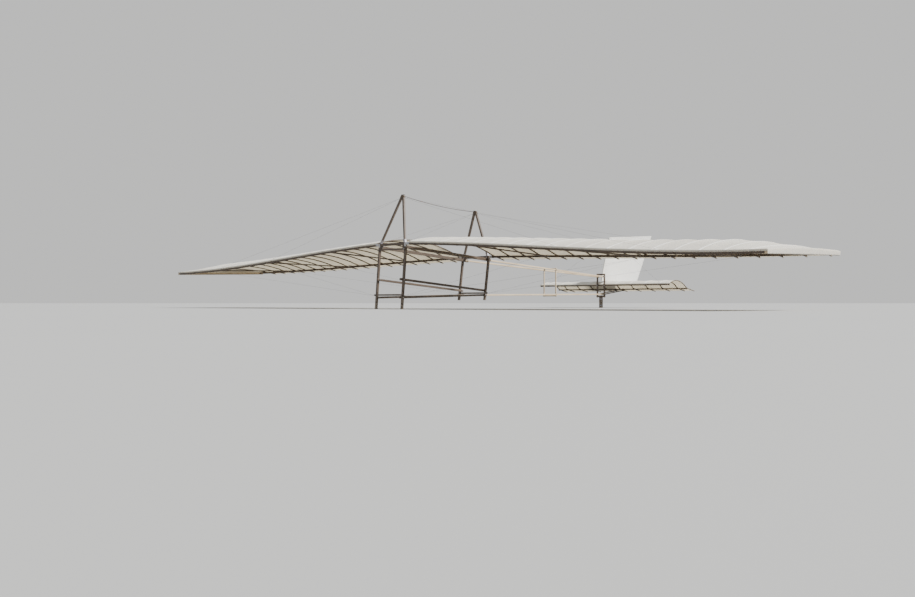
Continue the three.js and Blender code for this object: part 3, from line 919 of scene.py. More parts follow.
class Workshop:
    """What every sub-assembly is built with: shader groups, trees and the CAD nodes."""

    MERGE, FLAT = 1e-5, 0.01

    def __init__(self) -> None:
        """Build the shared groups and trees."""
        self.groups = ShaderGroups()
        self.bars = BarSweep()
        self.lines = RoundSweep()
        self.scatter = Scatter()

    def paint(self, finish: Finish) -> bpy.types.Material:
        """Give a finish's material."""
        return finish.material(self.groups)

    def fit(self, piece: Piece, slot: Slot, *nodes: str) -> Piece:
        """Make a piece ride and let it stand for its CAD nodes.

        Args:
            piece: the finished piece.
            slot: the record's material slot; not used.
            nodes: the CAD nodes that it replaces.

        Returns:
            The same piece.
        """
        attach(piece, BODY)
        if nodes:
            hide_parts(*nodes)
        LOG.info("%s: %d faces", piece.name, len(piece.data.polygons))
        return piece

    def bar(self, name: str, lines: Iterable[Line], width: float, depth: float, finish: Finish,
            corner: float = 0.0018, steps: int = 1) -> Piece:
        """Sweep squared sticks along lines."""
        return self.bars.run(name, lines_mesh(name, lines), Width=width, Depth=depth, Corner=corner,
            Steps=steps, Material=self.paint(finish))

    def line(self, name: str, lines: Iterable[Line], diameter: float, finish: Finish,
             sides: int = 6) -> Piece:
        """Sweep a round line along points."""
        return self.lines.run(name, lines_mesh(name, lines), Radius=diameter / 2, Sides=sides, Steps=1,
            Material=self.paint(finish))

    def scattered(self, name: str, pattern: Piece, places: Sequence[Placed], finish: Finish,
            size: float = 1.0, uneven: float = 0.0) -> Piece:
        """Set a small shape on many places.

        Args:
            name: the piece's name.
            pattern: the shape; it is removed.
            places: point, outward way and second way of each.
            finish: its finish.
            size: the shape's scale.
            uneven: how much that scale differs from one to the next.

        Returns:
            The shapes as one object.
        """
        points, outward, along = zip(*places)
        mesh = lines_mesh(name, [points], outward=outward, along=along)
        piece = self.scatter.run(name, mesh, Shape=pattern, Size=size, Uneven=uneven,
            Material=self.paint(finish))
        bpy.data.objects.remove(pattern)
        return piece

    def plane(self, node: str, finish: Finish, slot: Slot, corner: float = 0.0018) -> Piece:
        """Plane a copy of a straight CAD stick: its corners rounded, its grain laid along it.

        Args:
            node: the stick's CAD node.
            finish: its finish.
            slot: the record's material slot.
            corner: radius of its rounded corners.

        Returns:
            The finished stick.
        """
        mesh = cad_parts[node].data.copy()
        shape = bmesh.new()
        shape.from_mesh(mesh)
        bmesh.ops.remove_doubles(shape, verts=shape.verts, dist=self.MERGE)
        bmesh.ops.dissolve_limit(shape, angle_limit=self.FLAT, verts=shape.verts, edges=shape.edges)
        sharp = [e for e in shape.edges if len(e.link_faces) == 2 and e.calc_face_angle(0) > SHARP_EDGE]
        rounded = bmesh.ops.bevel(shape, geom=sharp, offset=corner, segments=ROUND_SEGMENTS, profile=0.5,
            affect="EDGES", clamp_overlap=True)
        curved = set(rounded["faces"])
        for face in shape.faces:
            face.smooth = face in curved
        places = np.array([v.co[:] for v in shape.verts])
        edge = [float(all(f in curved for f in v.link_faces)) for v in shape.verts]
        shape.to_mesh(mesh)
        shape.free()
        middle = places.mean(0)
        axes = np.linalg.svd(places - middle, full_matrices=False)[2]
        seed = sum(ord(c) * (i + 1) for i, c in enumerate(node))
        store(mesh, "grain", (places - middle) @ axes.T + np.random.default_rng(seed).uniform(0, 5, 3))
        store(mesh, "edge", edge)
        return self.fit(dressed(new_object(node + "_planed", mesh), self.paint(finish)), slot, node)


@dataclass
class TimberYard:
    """The straight sticks of the frame, the boom, the tail and the struts, and the king posts' plates."""

    shaped: Sequence[str] = ("skin", "ribs", "tip_bar", "front_spar_", "fin", "main_stay")
    boom_corner: float = 0.0022
    plate_corner: float = 0.0008

    def build(self, shop: Workshop) -> None:
        """Plane every node that no other sub-assembly shapes."""
        for node in list(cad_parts):
            if node.startswith("boom_"):
                shop.plane(node, SUNLIT_PAINTED_TIMBER, Slot.BOOM_WOOD, self.boom_corner)
            elif node.endswith("_plate"):
                shop.plane(node, FITTING_STEEL, Slot.STEEL, self.plate_corner)
            elif not any(part in node for part in self.shaped):
                shop.plane(node, SHADE_DARKENED_TIMBER, Slot.FRAME_WOOD)


class Contour:
    """A smooth height over a grid of stations, read from a CAD node."""

    def __init__(self, node: str) -> None:
        """Read the stations of a skin whose corners lie on a grid in X and Y.

        Args:
            node: the skin's CAD node.
        """
        corners: dict[Pair, set[float]] = {}
        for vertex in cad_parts[node].data.vertices:
            key = (round(abs(vertex.co.x), 4), round(vertex.co.y, 4))
            corners.setdefault(key, set()).add(round(vertex.co.z, 5))
        self.xs = sorted({k[0] for k in corners})
        self.ys = sorted({k[1] for k in corners})
        self.low = np.array([[min(corners[x, y]) for y in self.ys] for x in self.xs])

    @staticmethod
    def _ease(stations: Sequence[float], values: np.ndarray, at: float) -> np.ndarray:
        """Cubic curve through uneven stations.

        Args:
            stations: where the values stand, rising.
            values: one row for each station.
            at: the place asked for.

        Returns:
            The value or row there.
        """
        last = len(stations) - 1
        i = int(clamped(int(np.searchsorted(stations, at)) - 1, 0, last - 1))
        step = stations[i + 1] - stations[i]
        t = clamped((at - stations[i]) / step)

        def slope(k: int) -> np.ndarray:
            """Slope of the curve at one station, from its neighbours."""
            a, b = max(k - 1, 0), min(k + 1, last)
            return (values[b] - values[a]) / (stations[b] - stations[a])

        leave, arrive = slope(i) * step, slope(i + 1) * step
        return ((2 * t**3 - 3 * t**2 + 1) * values[i] + (t**3 - 2 * t**2 + t) * leave
            + (-2 * t**3 + 3 * t**2) * values[i + 1] + (t**3 - t**2) * arrive)

    def height(self, x: float, y: float) -> float:
        """Underside of the skin at a place of the left half."""
        return float(self._ease(self.ys, self._ease(self.xs, self.low, x), y))

    def rib_line(self, x: float, drop: float, steps: int = 36) -> list[Point]:
        """Centre line of a rib that lies under the skin."""
        return [(x, float(y), self.height(abs(x), float(y)) - drop)
            for y in np.linspace(self.ys[0], self.ys[-1], steps + 1)]


@dataclass(frozen=True)
class TipWrap:
    """How the cloth turns down over the tip bar and under it."""

    outer: float = 5.3
    front: Pair = (-3.0663, 0.554)
    rear: Pair = (-1.3763, 0.595)
    proud: float = 0.0012
    falls: tuple[float, ...] = (0.05, 0.3, 0.6, 0.85, 0.98)
    turned: tuple[float, ...] = (0.004, 0.016, 0.028)

    def bottom(self, y: float) -> float:
        """Height of the tip bar's lower face at a place along it."""
        t = clamped((y - self.front[0]) / (self.rear[0] - self.front[0]))
        return self.front[1] + t * (self.rear[1] - self.front[1])

    def rows(self, last: Sequence[tuple]) -> list[list[tuple]]:
        """Carry the sheet on over the bar's outer face and under it.

        Args:
            last: place and layout of each corner of the sheet's last row.

        Returns:
            The rows that follow.
        """
        made = []
        for fall in self.falls:
            made.append([(Vector((self.outer + self.proud, p.y, p.z + fall * (self.bottom(p.y) - p.z))),
                u + fall * (p.z - self.bottom(p.y)), v) for p, u, v in last])
        for inward in self.turned:
            made.append([(Vector((self.outer - inward, p.y, self.bottom(p.y) - self.proud * 0.6)),
                u + p.z - self.bottom(p.y) + inward, v) for p, u, v in last])
        return made


@dataclass
class SewnCloth:
    """One layer of cotton over ribs: hollow between them, hemmed and scalloped behind."""

    contour: Contour
    ribs: Sequence[float]
    tail_overhang: float
    spar_width: float
    sag: float = 0.0085
    scallop: float = 0.014
    thickness: float = 0.0011
    clearance: float = 0.0001
    across: int = 8
    chord: int = 60
    hem: float = 0.022
    hem_rise: float = 0.0009
    hem_fold: float = 0.001
    fold_clear: float = 0.0025
    least_step: float = 0.0015
    wrap: float = 0.022
    wrap_shares: Point = (1.0, 0.5, 0.12)
    seam_every: int = 3
    seam_width: float = 0.012
    seam_rise: float = 0.0008
    seam_aside: float = 0.09
    lip: float = 0.0021
    prop: float = -1.4363
    prop_reach: float = 0.05
    propped: float = 0.5
    tip_wrap: TipWrap | None = None
    tip_cut: float = 0.006

    def __post_init__(self) -> None:
        """Work out the cloth's ends."""
        self.front, self.rear = self.contour.ys[0], self.contour.ys[-1] - self.tail_overhang
        self.start, self.stop = self.ribs[0], self.ribs[-1]

    def hollow(self, x: float) -> float:
        """How much of the sag a station has, from 0 at a rib to 1 in the middle of a bay."""
        for left, right in zip(self.ribs, self.ribs[1:]):
            if left <= x <= right:
                share = (x - left) / (right - left)
                return 4 * share * (1 - share)
        return 0.0

    def trailing(self, x: float) -> float:
        """The scalloped rear edge of the cloth at a station.

        Args:
            x: the station.

        Returns:
            The edge's place in Y.
        """
        drawn = 0.0
        if self.tip_wrap and x > self.ribs[-2]:
            drawn = (x - self.ribs[-2]) / (self.ribs[-1] - self.ribs[-2])
            drawn *= self.rear - self.tip_wrap.rear[0] + self.tip_cut
        return self.rear - self.scallop * self.hollow(x) - drawn

    def folded(self, x: float, y: float) -> float:
        """How much the doubled hem adds at a place."""
        return self.hem_rise if y >= self.trailing(x) - self.hem else 0.0

    def seams(self) -> list[float]:
        """Where two widths of cloth are sewn together."""
        return [x - self.seam_aside for x in self.ribs[1:-1][self.seam_every - 1::self.seam_every]]

    def surface(self, x: float, y: float) -> float:
        """Underside of the stretched cloth at a place of the left half.

        Args:
            x: the station.
            y: the place along the chord.

        Returns:
            The height.
        """
        taut = clamped((y - self.front - self.spar_width) / (self.rear - self.front - self.spar_width))
        drawn = math.sin(math.pi / 2 * min(1.0, taut * 4.0)) ** 1.5
        drawn *= 1 - self.propped * math.exp(-((y - self.prop) / self.prop_reach) ** 2)
        contour = self.contour
        height = contour.height(clamped(abs(x), contour.xs[0], contour.xs[-1]), min(y, contour.ys[-1]))
        rise = sum(self.seam_rise * max(0.0, 1 - abs(x - seam) / self.seam_width * 2) ** 0.5
            for seam in self.seams())
        return height + self.clearance - self.sag * self.hollow(x) * drawn + rise

    def stations(self) -> list[float]:
        """Stations along the span, closer over the ribs and at the seams.

        Returns:
            The stations, rising.
        """
        marks = set()
        for left, right in zip(self.ribs, self.ribs[1:]):
            count = max(1, round(self.across * (right - left) / (self.ribs[2] - self.ribs[1])))
            marks |= {round(left + (right - left) * i / count, 5) for i in range(count + 1)}
        for seam in self.seams():
            marks |= {round(seam + d * self.seam_width / 2, 5) for d in (-1.0, -0.6, 0.6, 1.0)}
        ordered = sorted(marks)
        return [x for i, x in enumerate(ordered) if i == 0 or x - ordered[i - 1] > self.least_step]

    def chords(self, x: float) -> list[float]:
        """Places along the chord where the cloth has corners, with the fold of its hem.

        Args:
            x: the station.

        Returns:
            The places in Y, rising.
        """
        end = self.trailing(x)
        fold = [end - self.hem - self.hem_fold, end - self.hem + self.hem_fold]
        even = [self.front + (end - self.front) * i / self.chord for i in range(self.chord + 1)]
        return sorted([y for y in even if all(abs(y - f) > self.fold_clear for f in fold)] + fold)

    def mesh(self, name: str, side: Side) -> Mesh:
        """Make the cloth as a thin closed sheet with a layout map in metres.

        Args:
            name: the mesh's name.
            side: which half it is for.

        Returns:
            The sheet.
        """
        rows: list[list[tuple[Vector, float, float]]] = []
        for x in self.stations():
            edge = self.surface(x, self.front)
            drops = [self.wrap * share for share in self.wrap_shares]
            row = [(Vector((x, self.front - self.lip, edge - d)), x, self.front - d) for d in drops]
            row += [(Vector((x, y, self.surface(x, y) + self.folded(x, y))), x, y) for y in self.chords(x)]
            rows.append(row)
        if self.tip_wrap:
            rows += self.tip_wrap.rows(rows[-1])
        last, count = len(rows) - 1, len(rows[0])
        points, layout = [], []
        for layer in (0, 1):
            for i, row in enumerate(rows):
                for j, (place, u, v) in enumerate(row):
                    chord = row[min(j + 1, count - 1)][0] - row[max(j - 1, 0)][0]
                    span = rows[min(i + 1, last)][j][0] - rows[max(i - 1, 0)][j][0]
                    normal = span.cross(chord).normalized()
                    points.append(side.place(place + normal * self.thickness * layer))
                    layout.append((u, v))
        size = len(points) // 2
        faces = []
        for i in range(last):
            for j in range(i * count, i * count + count - 1):
                ring = (j, j + count, j + count + 1, j + 1)
                faces += [ring[::-1], tuple(k + size for k in ring)]
        rim = [i * count for i in range(last + 1)] + [last * count + j for j in range(1, count)]
        rim += [i * count + count - 1 for i in range(last - 1, -1, -1)] + list(range(count - 2, 0, -1))
        faces += [(a, b, b + size, a + size) for a, b in around(rim)]
        mesh = closed_mesh(name, points, faces)
        mesh.polygons.foreach_set("use_smooth", [True] * len(mesh.polygons))
        lay_out(mesh, layout)
        return mesh


# Fittings, lashings and sewing


class Head(Enum):
    """Small fasteners, each with its turned outline as radius and height, and its finish."""

    BOLT = ("carriage_bolt_heads", FITTING_STEEL, 12, (
        (0.0095, 0.0), (0.0095, 0.0012), (0.0070, 0.0013), (0.0066, 0.0026), (0.0042, 0.0040)))
    NUT = ("nuts_on_washers", FITTING_STEEL, 6, (
        (0.0100, 0.0), (0.0100, 0.0012), (0.0068, 0.0013), (0.0066, 0.0062), (0.0032, 0.0063),
        (0.0030, 0.0098)))
    SCREW = ("round_head_screws", COPPER, 8, ((0.0036, 0.0), (0.0033, 0.0009), (0.0019, 0.0017)))
    TACK = ("copper_tacks", COPPER, 8, ((0.0032, 0.0), (0.0027, 0.0006), (0.0012, 0.0010)))

    def __init__(self, label: str, finish: SteelFinish, sides: int, outline: Sequence[Pair]) -> None:
        """Keep the outline."""
        self.label, self.finish, self.sides, self.outline = label, finish, sides, outline

    def shape(self) -> Mesh:
        """Turn the outline into a closed head that stands on Z 0.

        Returns:
            The head's mesh.
        """
        turns = [math.tau * k / self.sides for k in range(self.sides)]
        points = [(out * math.cos(t), out * math.sin(t), z) for out, z in self.outline for t in turns]
        faces = tube_faces(len(self.outline), self.sides, closed=False)
        faces.append(tuple(range(self.sides))[::-1])
        faces.append(tuple(range(len(points) - self.sides, len(points))))
        return mesh_of(self.label, points, (), faces)


def level(way: Vector) -> Vector:
    """A fixed direction that isn't along the given one."""
    return UP if abs(way.z) < 0.9 else ACROSS


def axes_of(axis: Sequence[float], side: Sequence[float]) -> Placed:
    """Directions of a squared bundle.

    Args:
        axis: the way that it runs.
        side: the rough way of its first half size.

    Returns:
        The unit vectors along it and of its two half sizes.
    """
    run = Vector(axis).normalized()
    across = (Vector(side) - run * Vector(side).dot(run)).normalized()
    return run, across, run.cross(across)


@dataclass(frozen=True)
class Turns:
    """Twine wound round sticks."""

    cord: float = 0.0026
    count: int = 4
    points: int = 16
    squareness: float = 0.38
    coil_pitch: float = 1.02
    cross_pitch: float = 1.04
    widening: float = 0.9
    layer_rise: float = 0.85

    def _ring(self, half_side: float, half_rise: float, turn: float) -> Pair:
        """A point of a rounded rectangle at a turn from 0 to 1."""
        c, s = math.cos(math.tau * turn), math.sin(math.tau * turn)
        return (half_side * math.copysign(abs(c) ** self.squareness, c),
            half_rise * math.copysign(abs(s) ** self.squareness, s))

    def coil(self, centre: Sequence[float], axis: Sequence[float], side: Sequence[float], half_side: float,
            half_rise: float, taper: float = 0.0) -> Line:
        """Wind side by side turns round a squared bundle.

        Args:
            centre: the middle of the coil.
            axis: the way that the bundle runs.
            side: the way of its first half size.
            half_side: half its size that way.
            half_rise: half its other size.
            taper: how much the first half size grows for each metre along the axis.

        Returns:
            The line of the twine.
        """
        run, across, rise = axes_of(axis, side)
        total = self.count * self.points
        line = []
        for i in range(total + 1):
            step = (i / total - 0.5) * self.count * self.cord * self.coil_pitch
            a, b = self._ring(half_side + taper * step + self.cord / 2, half_rise + self.cord / 2,
                i / self.points)
            line.append(tuple(Vector(centre) + across * a + rise * b + run * step))
        return line

    def cross(self, centre: Point, first: Point, second: Point, half_sides: Pair, over: float,
            under: float) -> list[Line]:
        """Wind diagonal turns both ways round two crossing sticks.

        Args:
            centre: the point between the two sticks.
            first: the way of the upper stick.
            second: the way of the lower stick.
            half_sides: half the width of each stick in their common plane.
            over: from the centre to the upper stick's outer face.
            under: from the centre to the lower stick's outer face.

        Returns:
            The lines of the twine.
        """
        a, b = Vector(first).normalized(), Vector(second).normalized()
        normal = a.cross(b).normalized()
        normal *= math.copysign(1.0, normal.z)
        lines = []
        for layer, sign in enumerate((1, -1)):
            slope = (a + b * sign).normalized()
            other = normal.cross(slope)
            for k in range(self.count):
                shift = (k - (self.count - 1) / 2) * self.cord * self.cross_pitch
                half = math.hypot(*half_sides) + self.cord / 2 + abs(shift) * self.widening
                middle = Vector(centre) + normal * (over - under) / 2 + other * shift
                rise = (over + under) / 2 + self.cord * (0.5 + self.layer_rise * layer)
                ring = [self._ring(half, rise, i / self.points) for i in range(self.points + 1)]
                lines.append([tuple(middle + slope * s + normal * r) for s, r in ring])
        return lines


@dataclass(frozen=True)
class Band:
    """Sheet metal that is bent round a squared bundle."""

    half_side: float
    half_rise: float
    length: float
    wall: float
    corner: float = 0.003
    corner_steps: int = 4

    def bent(self, name: str, centre: Point, axis: Point, side: Point) -> Piece:
        """Bend the band.

        Args:
            name: the piece's name.
            centre: the middle of the bundle there.
            axis: the way that the bundle runs.
            side: the way of its first half size.

        Returns:
            The band.
        """
        run, across, rise = axes_of(axis, side)
        loop = []
        for quarter, (sx, sy) in enumerate(((1, 1), (-1, 1), (-1, -1), (1, -1))):
            for k in range(self.corner_steps + 1):
                turn = math.pi / 2 * (quarter + k / self.corner_steps)
                c, s = math.cos(turn), math.sin(turn)
                loop.append((sx * (self.half_side - self.corner) + self.corner * c,
                    sy * (self.half_rise - self.corner) + self.corner * s, c, s))
        points = []
        for out, end in ((0, -1), (0, 1), (self.wall, 1), (self.wall, -1)):
            at = Vector(centre) + run * (end * self.length / 2)
            points += [at + across * (x + out * c) + rise * (y + out * s) for x, y, c, s in loop]
        return new_object(name, closed_mesh(name, points, tube_faces(4, len(loop))))


@dataclass(frozen=True)
class Plate:
    """A piece of sheet: an angle with two legs, or a flat plate where the second length is 0."""

    lengths: Pair
    width: float
    thickness: float

    def bent(self, name: str, corner: Sequence[float], first: Point, second: Point) -> Piece:
        """Cut and bend the sheet.

        Args:
            name: the piece's name.
            corner: the middle of the inner bend line, or of a flat plate.
            first: the way of the first leg.
            second: the way of the second leg, or of a flat plate's thickness.

        Returns:
            The plate.
        """
        a, b = Vector(first).normalized(), Vector(second).normalized()
        fold = a.cross(b).normalized()
        (u, v), t = self.lengths, self.thickness
        outline = [(0, 0), (u, 0), (u, t), (1.5 * t, t), (t, 1.5 * t), (t, v), (0, v)]
        if not v:
            outline = [(-u / 2, 0), (u / 2, 0), (u / 2, t), (-u / 2, t)]
        count = len(outline)
        points = [Vector(corner) + a * x + b * y + fold * (end * self.width / 2)
            for end in (-1, 1) for x, y in outline]
        caps = [tuple(range(count)), tuple(range(2 * count - 1, count - 1, -1))]
        mesh = closed_mesh(name, points, caps + tube_faces(2, count, closed=False))
        worked = new_object(name + "_work", mesh)
        soft = worked.modifiers.new("corners", "BEVEL")
        soft.width = min(0.0008, t * 0.3)
        soft.segments = 1
        return plain_mesh(worked, name)


class Hardware:
    """Collects plates, twine, wire and fasteners, and makes one piece of each kind."""

    WIRE, WIRE_EYE, BARE_EYE = 0.0015, 0.001, 0.012
    SEIZING = Turns(cord=0.0011, count=14, points=7, squareness=1.0)
    SCREW_REACH = 0.64

    def __init__(self, shop: Workshop) -> None:
        """Start empty.

        Args:
            shop: the workshop.
        """
        self.shop = shop
        self.places: dict[Head, list[Placed]] = {head: [] for head in Head}
        self.plates: dict[SteelFinish, list[Piece]] = {FITTING_STEEL: [], PALE_STEEL: []}
        self.twine: dict[TwineFinish, list[Line]] = {DARK_TWINE: [], PALE_TWINE: []}
        self.wires: list[Line] = []
        self.seizings: list[Line] = []
        self.turns = Turns()

    def put(self, head: Head, place: Sequence[float], outward: Sequence[float]) -> None:
        """Set one fastener on a face."""
        normal = Vector(outward).normalized()
        self.places[head].append((Vector(place), normal, normal.cross(level(normal)).normalized()))

    def bolt(self, start: Sequence[float], end: Sequence[float]) -> None:
        """Put a bolt through: its head at the start and its nut at the end.

        Args:
            start: where the head sits.
            end: where the nut sits.
        """
        way = Vector(end) - Vector(start)
        self.put(Head.BOLT, start, -way)
        self.put(Head.NUT, end, way)

    def plate(self, made: Piece, finish: SteelFinish = FITTING_STEEL) -> None:
        """Keep one plate for the joined piece."""
        self.plates[finish].append(dressed(made, self.shop.paint(finish)))

    def bracket(self, corner: Point, first: Point, second: Point, lengths: Pair, width: float,
            thickness: float = 0.0015) -> None:
        """Set an angle bracket into an inner corner, with one screw in each leg.

        Args:
            corner: the middle of the corner's line.
            first: the way of the first leg.
            second: the way of the second leg.
            lengths: the legs' lengths.
            width: the bracket's width.
            thickness: the metal's thickness.
        """
        self.plate(Plate(lengths, width, thickness).bent("bracket", corner, first, second))
        a, b = Vector(first).normalized(), Vector(second).normalized()
        for along, out, length in ((a, b, lengths[0]), (b, a, lengths[1])):
            self.put(Head.SCREW, Vector(corner) + along * length * self.SCREW_REACH + out * thickness, out)

    def wire(self, start: Point, end: Point, clear: float = BARE_EYE, wrap: float = 0.026) -> None:
        """Run a taut wire with a wrapped eye at each end.

        Args:
            start: its first end.
            end: its other end.
            clear: bare wire between the other end and its wrapping.
            wrap: length of the wrapping behind each eye.
        """
        a, b = Vector(start), Vector(end)
        way = (b - a).normalized()
        self.wires.append([tuple(a), tuple(a.lerp(b, 0.5)), tuple(b)])
        for place, run, bare in ((a, way, self.BARE_EYE), (b, -way, clear)):
            middle = place + run * (wrap / 2 + bare)
            self.seizings.append(self.SEIZING.coil(middle, run, level(run), self.WIRE_EYE, self.WIRE_EYE))

    def build(self) -> None:
        """Make one piece of each kind that was collected."""
        shop = self.shop
        for finish, parts in self.plates.items():
            shop.fit(joined(f"{finish.name}_fittings", parts), Slot.STEEL)
        for finish, slot in ((DARK_TWINE, Slot.FRAME_WOOD), (PALE_TWINE, Slot.BOOM_WOOD)):
            name = f"{finish.name}_lashings"
            shop.fit(shop.line(name, self.twine[finish], self.turns.cord, finish), slot)
        shop.fit(shop.line("brace_wires", self.wires, self.WIRE, WIRE_STEEL), Slot.STEEL)
        shop.fit(shop.line("wire_seizings", self.seizings, self.SEIZING.cord, WIRE_STEEL, 4), Slot.STEEL)
        for head, places in self.places.items():
            pattern = new_object(head.label + "_pattern", head.shape())
            shop.fit(shop.scattered(head.label, pattern, places, head.finish, uneven=0.05), Slot.STEEL)


@dataclass
class Assembly:
    """A sub-assembly: it is built in the shared workshop, and the hardware collects its small fittings."""

    gear: Hardware

    STITCH = (0.0030, 0.0006, 0.0005)

    @property
    def shop(self) -> Workshop:
        """The shared workshop."""
        return self.gear.shop

    def tape(self, name: str, points: Sequence[Point], faces: Iterable[Ring],
             flat: tuple[int, int]) -> Piece:
        """Make a piece of tape cloth with its layout map.

        Args:
            name: the piece's name.
            points: its corners.
            faces: its faces.
            flat: the two axes that it is laid out on.

        Returns:
            The fitted piece.
        """
        mesh = closed_mesh(name, points, faces)
        lay_out(mesh, np.asarray(points, dtype=np.float32)[:, flat])
        return self.shop.fit(dressed(new_object(name, mesh), self.shop.paint(TAPE_CLOTH)), Slot.CLOTH)

    def stitched(self, name: str, rows: Sequence[Placed]) -> Piece:
        """Set stitches on points.

        Args:
            name: the piece's name.
            rows: place, outward way and thread way of each stitch.

        Returns:
            The stitches as one piece.
        """
        (long, wide, high), short = self.STITCH, self.STITCH[0] * 0.6
        points = [(-long, 0, 0), (-short, -wide, 0), (short, -wide, 0), (long, 0, 0), (short, wide, 0),
            (-short, wide, 0), (-short, 0, high), (short, 0, high)]
        faces = [(0, 1, 6), (1, 2, 7, 6), (2, 3, 7), (3, 4, 7), (4, 5, 6, 7), (5, 0, 6), (5, 4, 3, 2, 1, 0)]
        pattern = new_object(name + "_pattern", mesh_of(name + "_pattern", points, (), faces))
        return self.shop.fit(self.shop.scattered(name, pattern, rows, PALE_TWINE, uneven=0.12), Slot.CLOTH)

    def bind_ribs(self, name: str, places: Sequence[Point], size: float = 1.0) -> None:
        """Lash ribs to the spar below them with thin twine.

        Args:
            name: the piece's name.
            places: the middle of the spar's top under each rib.
            size: scale of the lashing, 1 for a spar 24 by 30 mm.
        """
        half, deep, bore, lift = 0.0128, 0.0308, 0.006, 0.0008
        loops = []
        for x in (-0.0072, 0.0072):
            for shift in (-0.0009, 0.0009):
                loops.append([
                    (0, 0, bore), (x * 0.9, -0.001, bore),
                    (x + shift, -0.007, lift), (x + shift, -half, -0.0006),
                    (x * 0.9 + shift, -half, -deep * 0.6), (x * 0.7 + shift, -half * 0.9, -deep),
                    (shift, 0, -deep - 0.0002), (-x * 0.7 + shift, half * 0.9, -deep),
                    (-x * 0.9 + shift, half, -deep * 0.6), (-x + shift, half, -0.0006),
                    (-x + shift, 0.007, lift), (-x * 0.9, 0.001, bore), (0, 0, bore)])
        pattern = self.shop.line(name + "_pattern", loops, 0.0016, DARK_TWINE, 5)
        rows = [(place, UP, ACROSS) for place in places]
        self.shop.fit(self.shop.scattered(name, pattern, rows, DARK_TWINE, size), Slot.FRAME_WOOD)


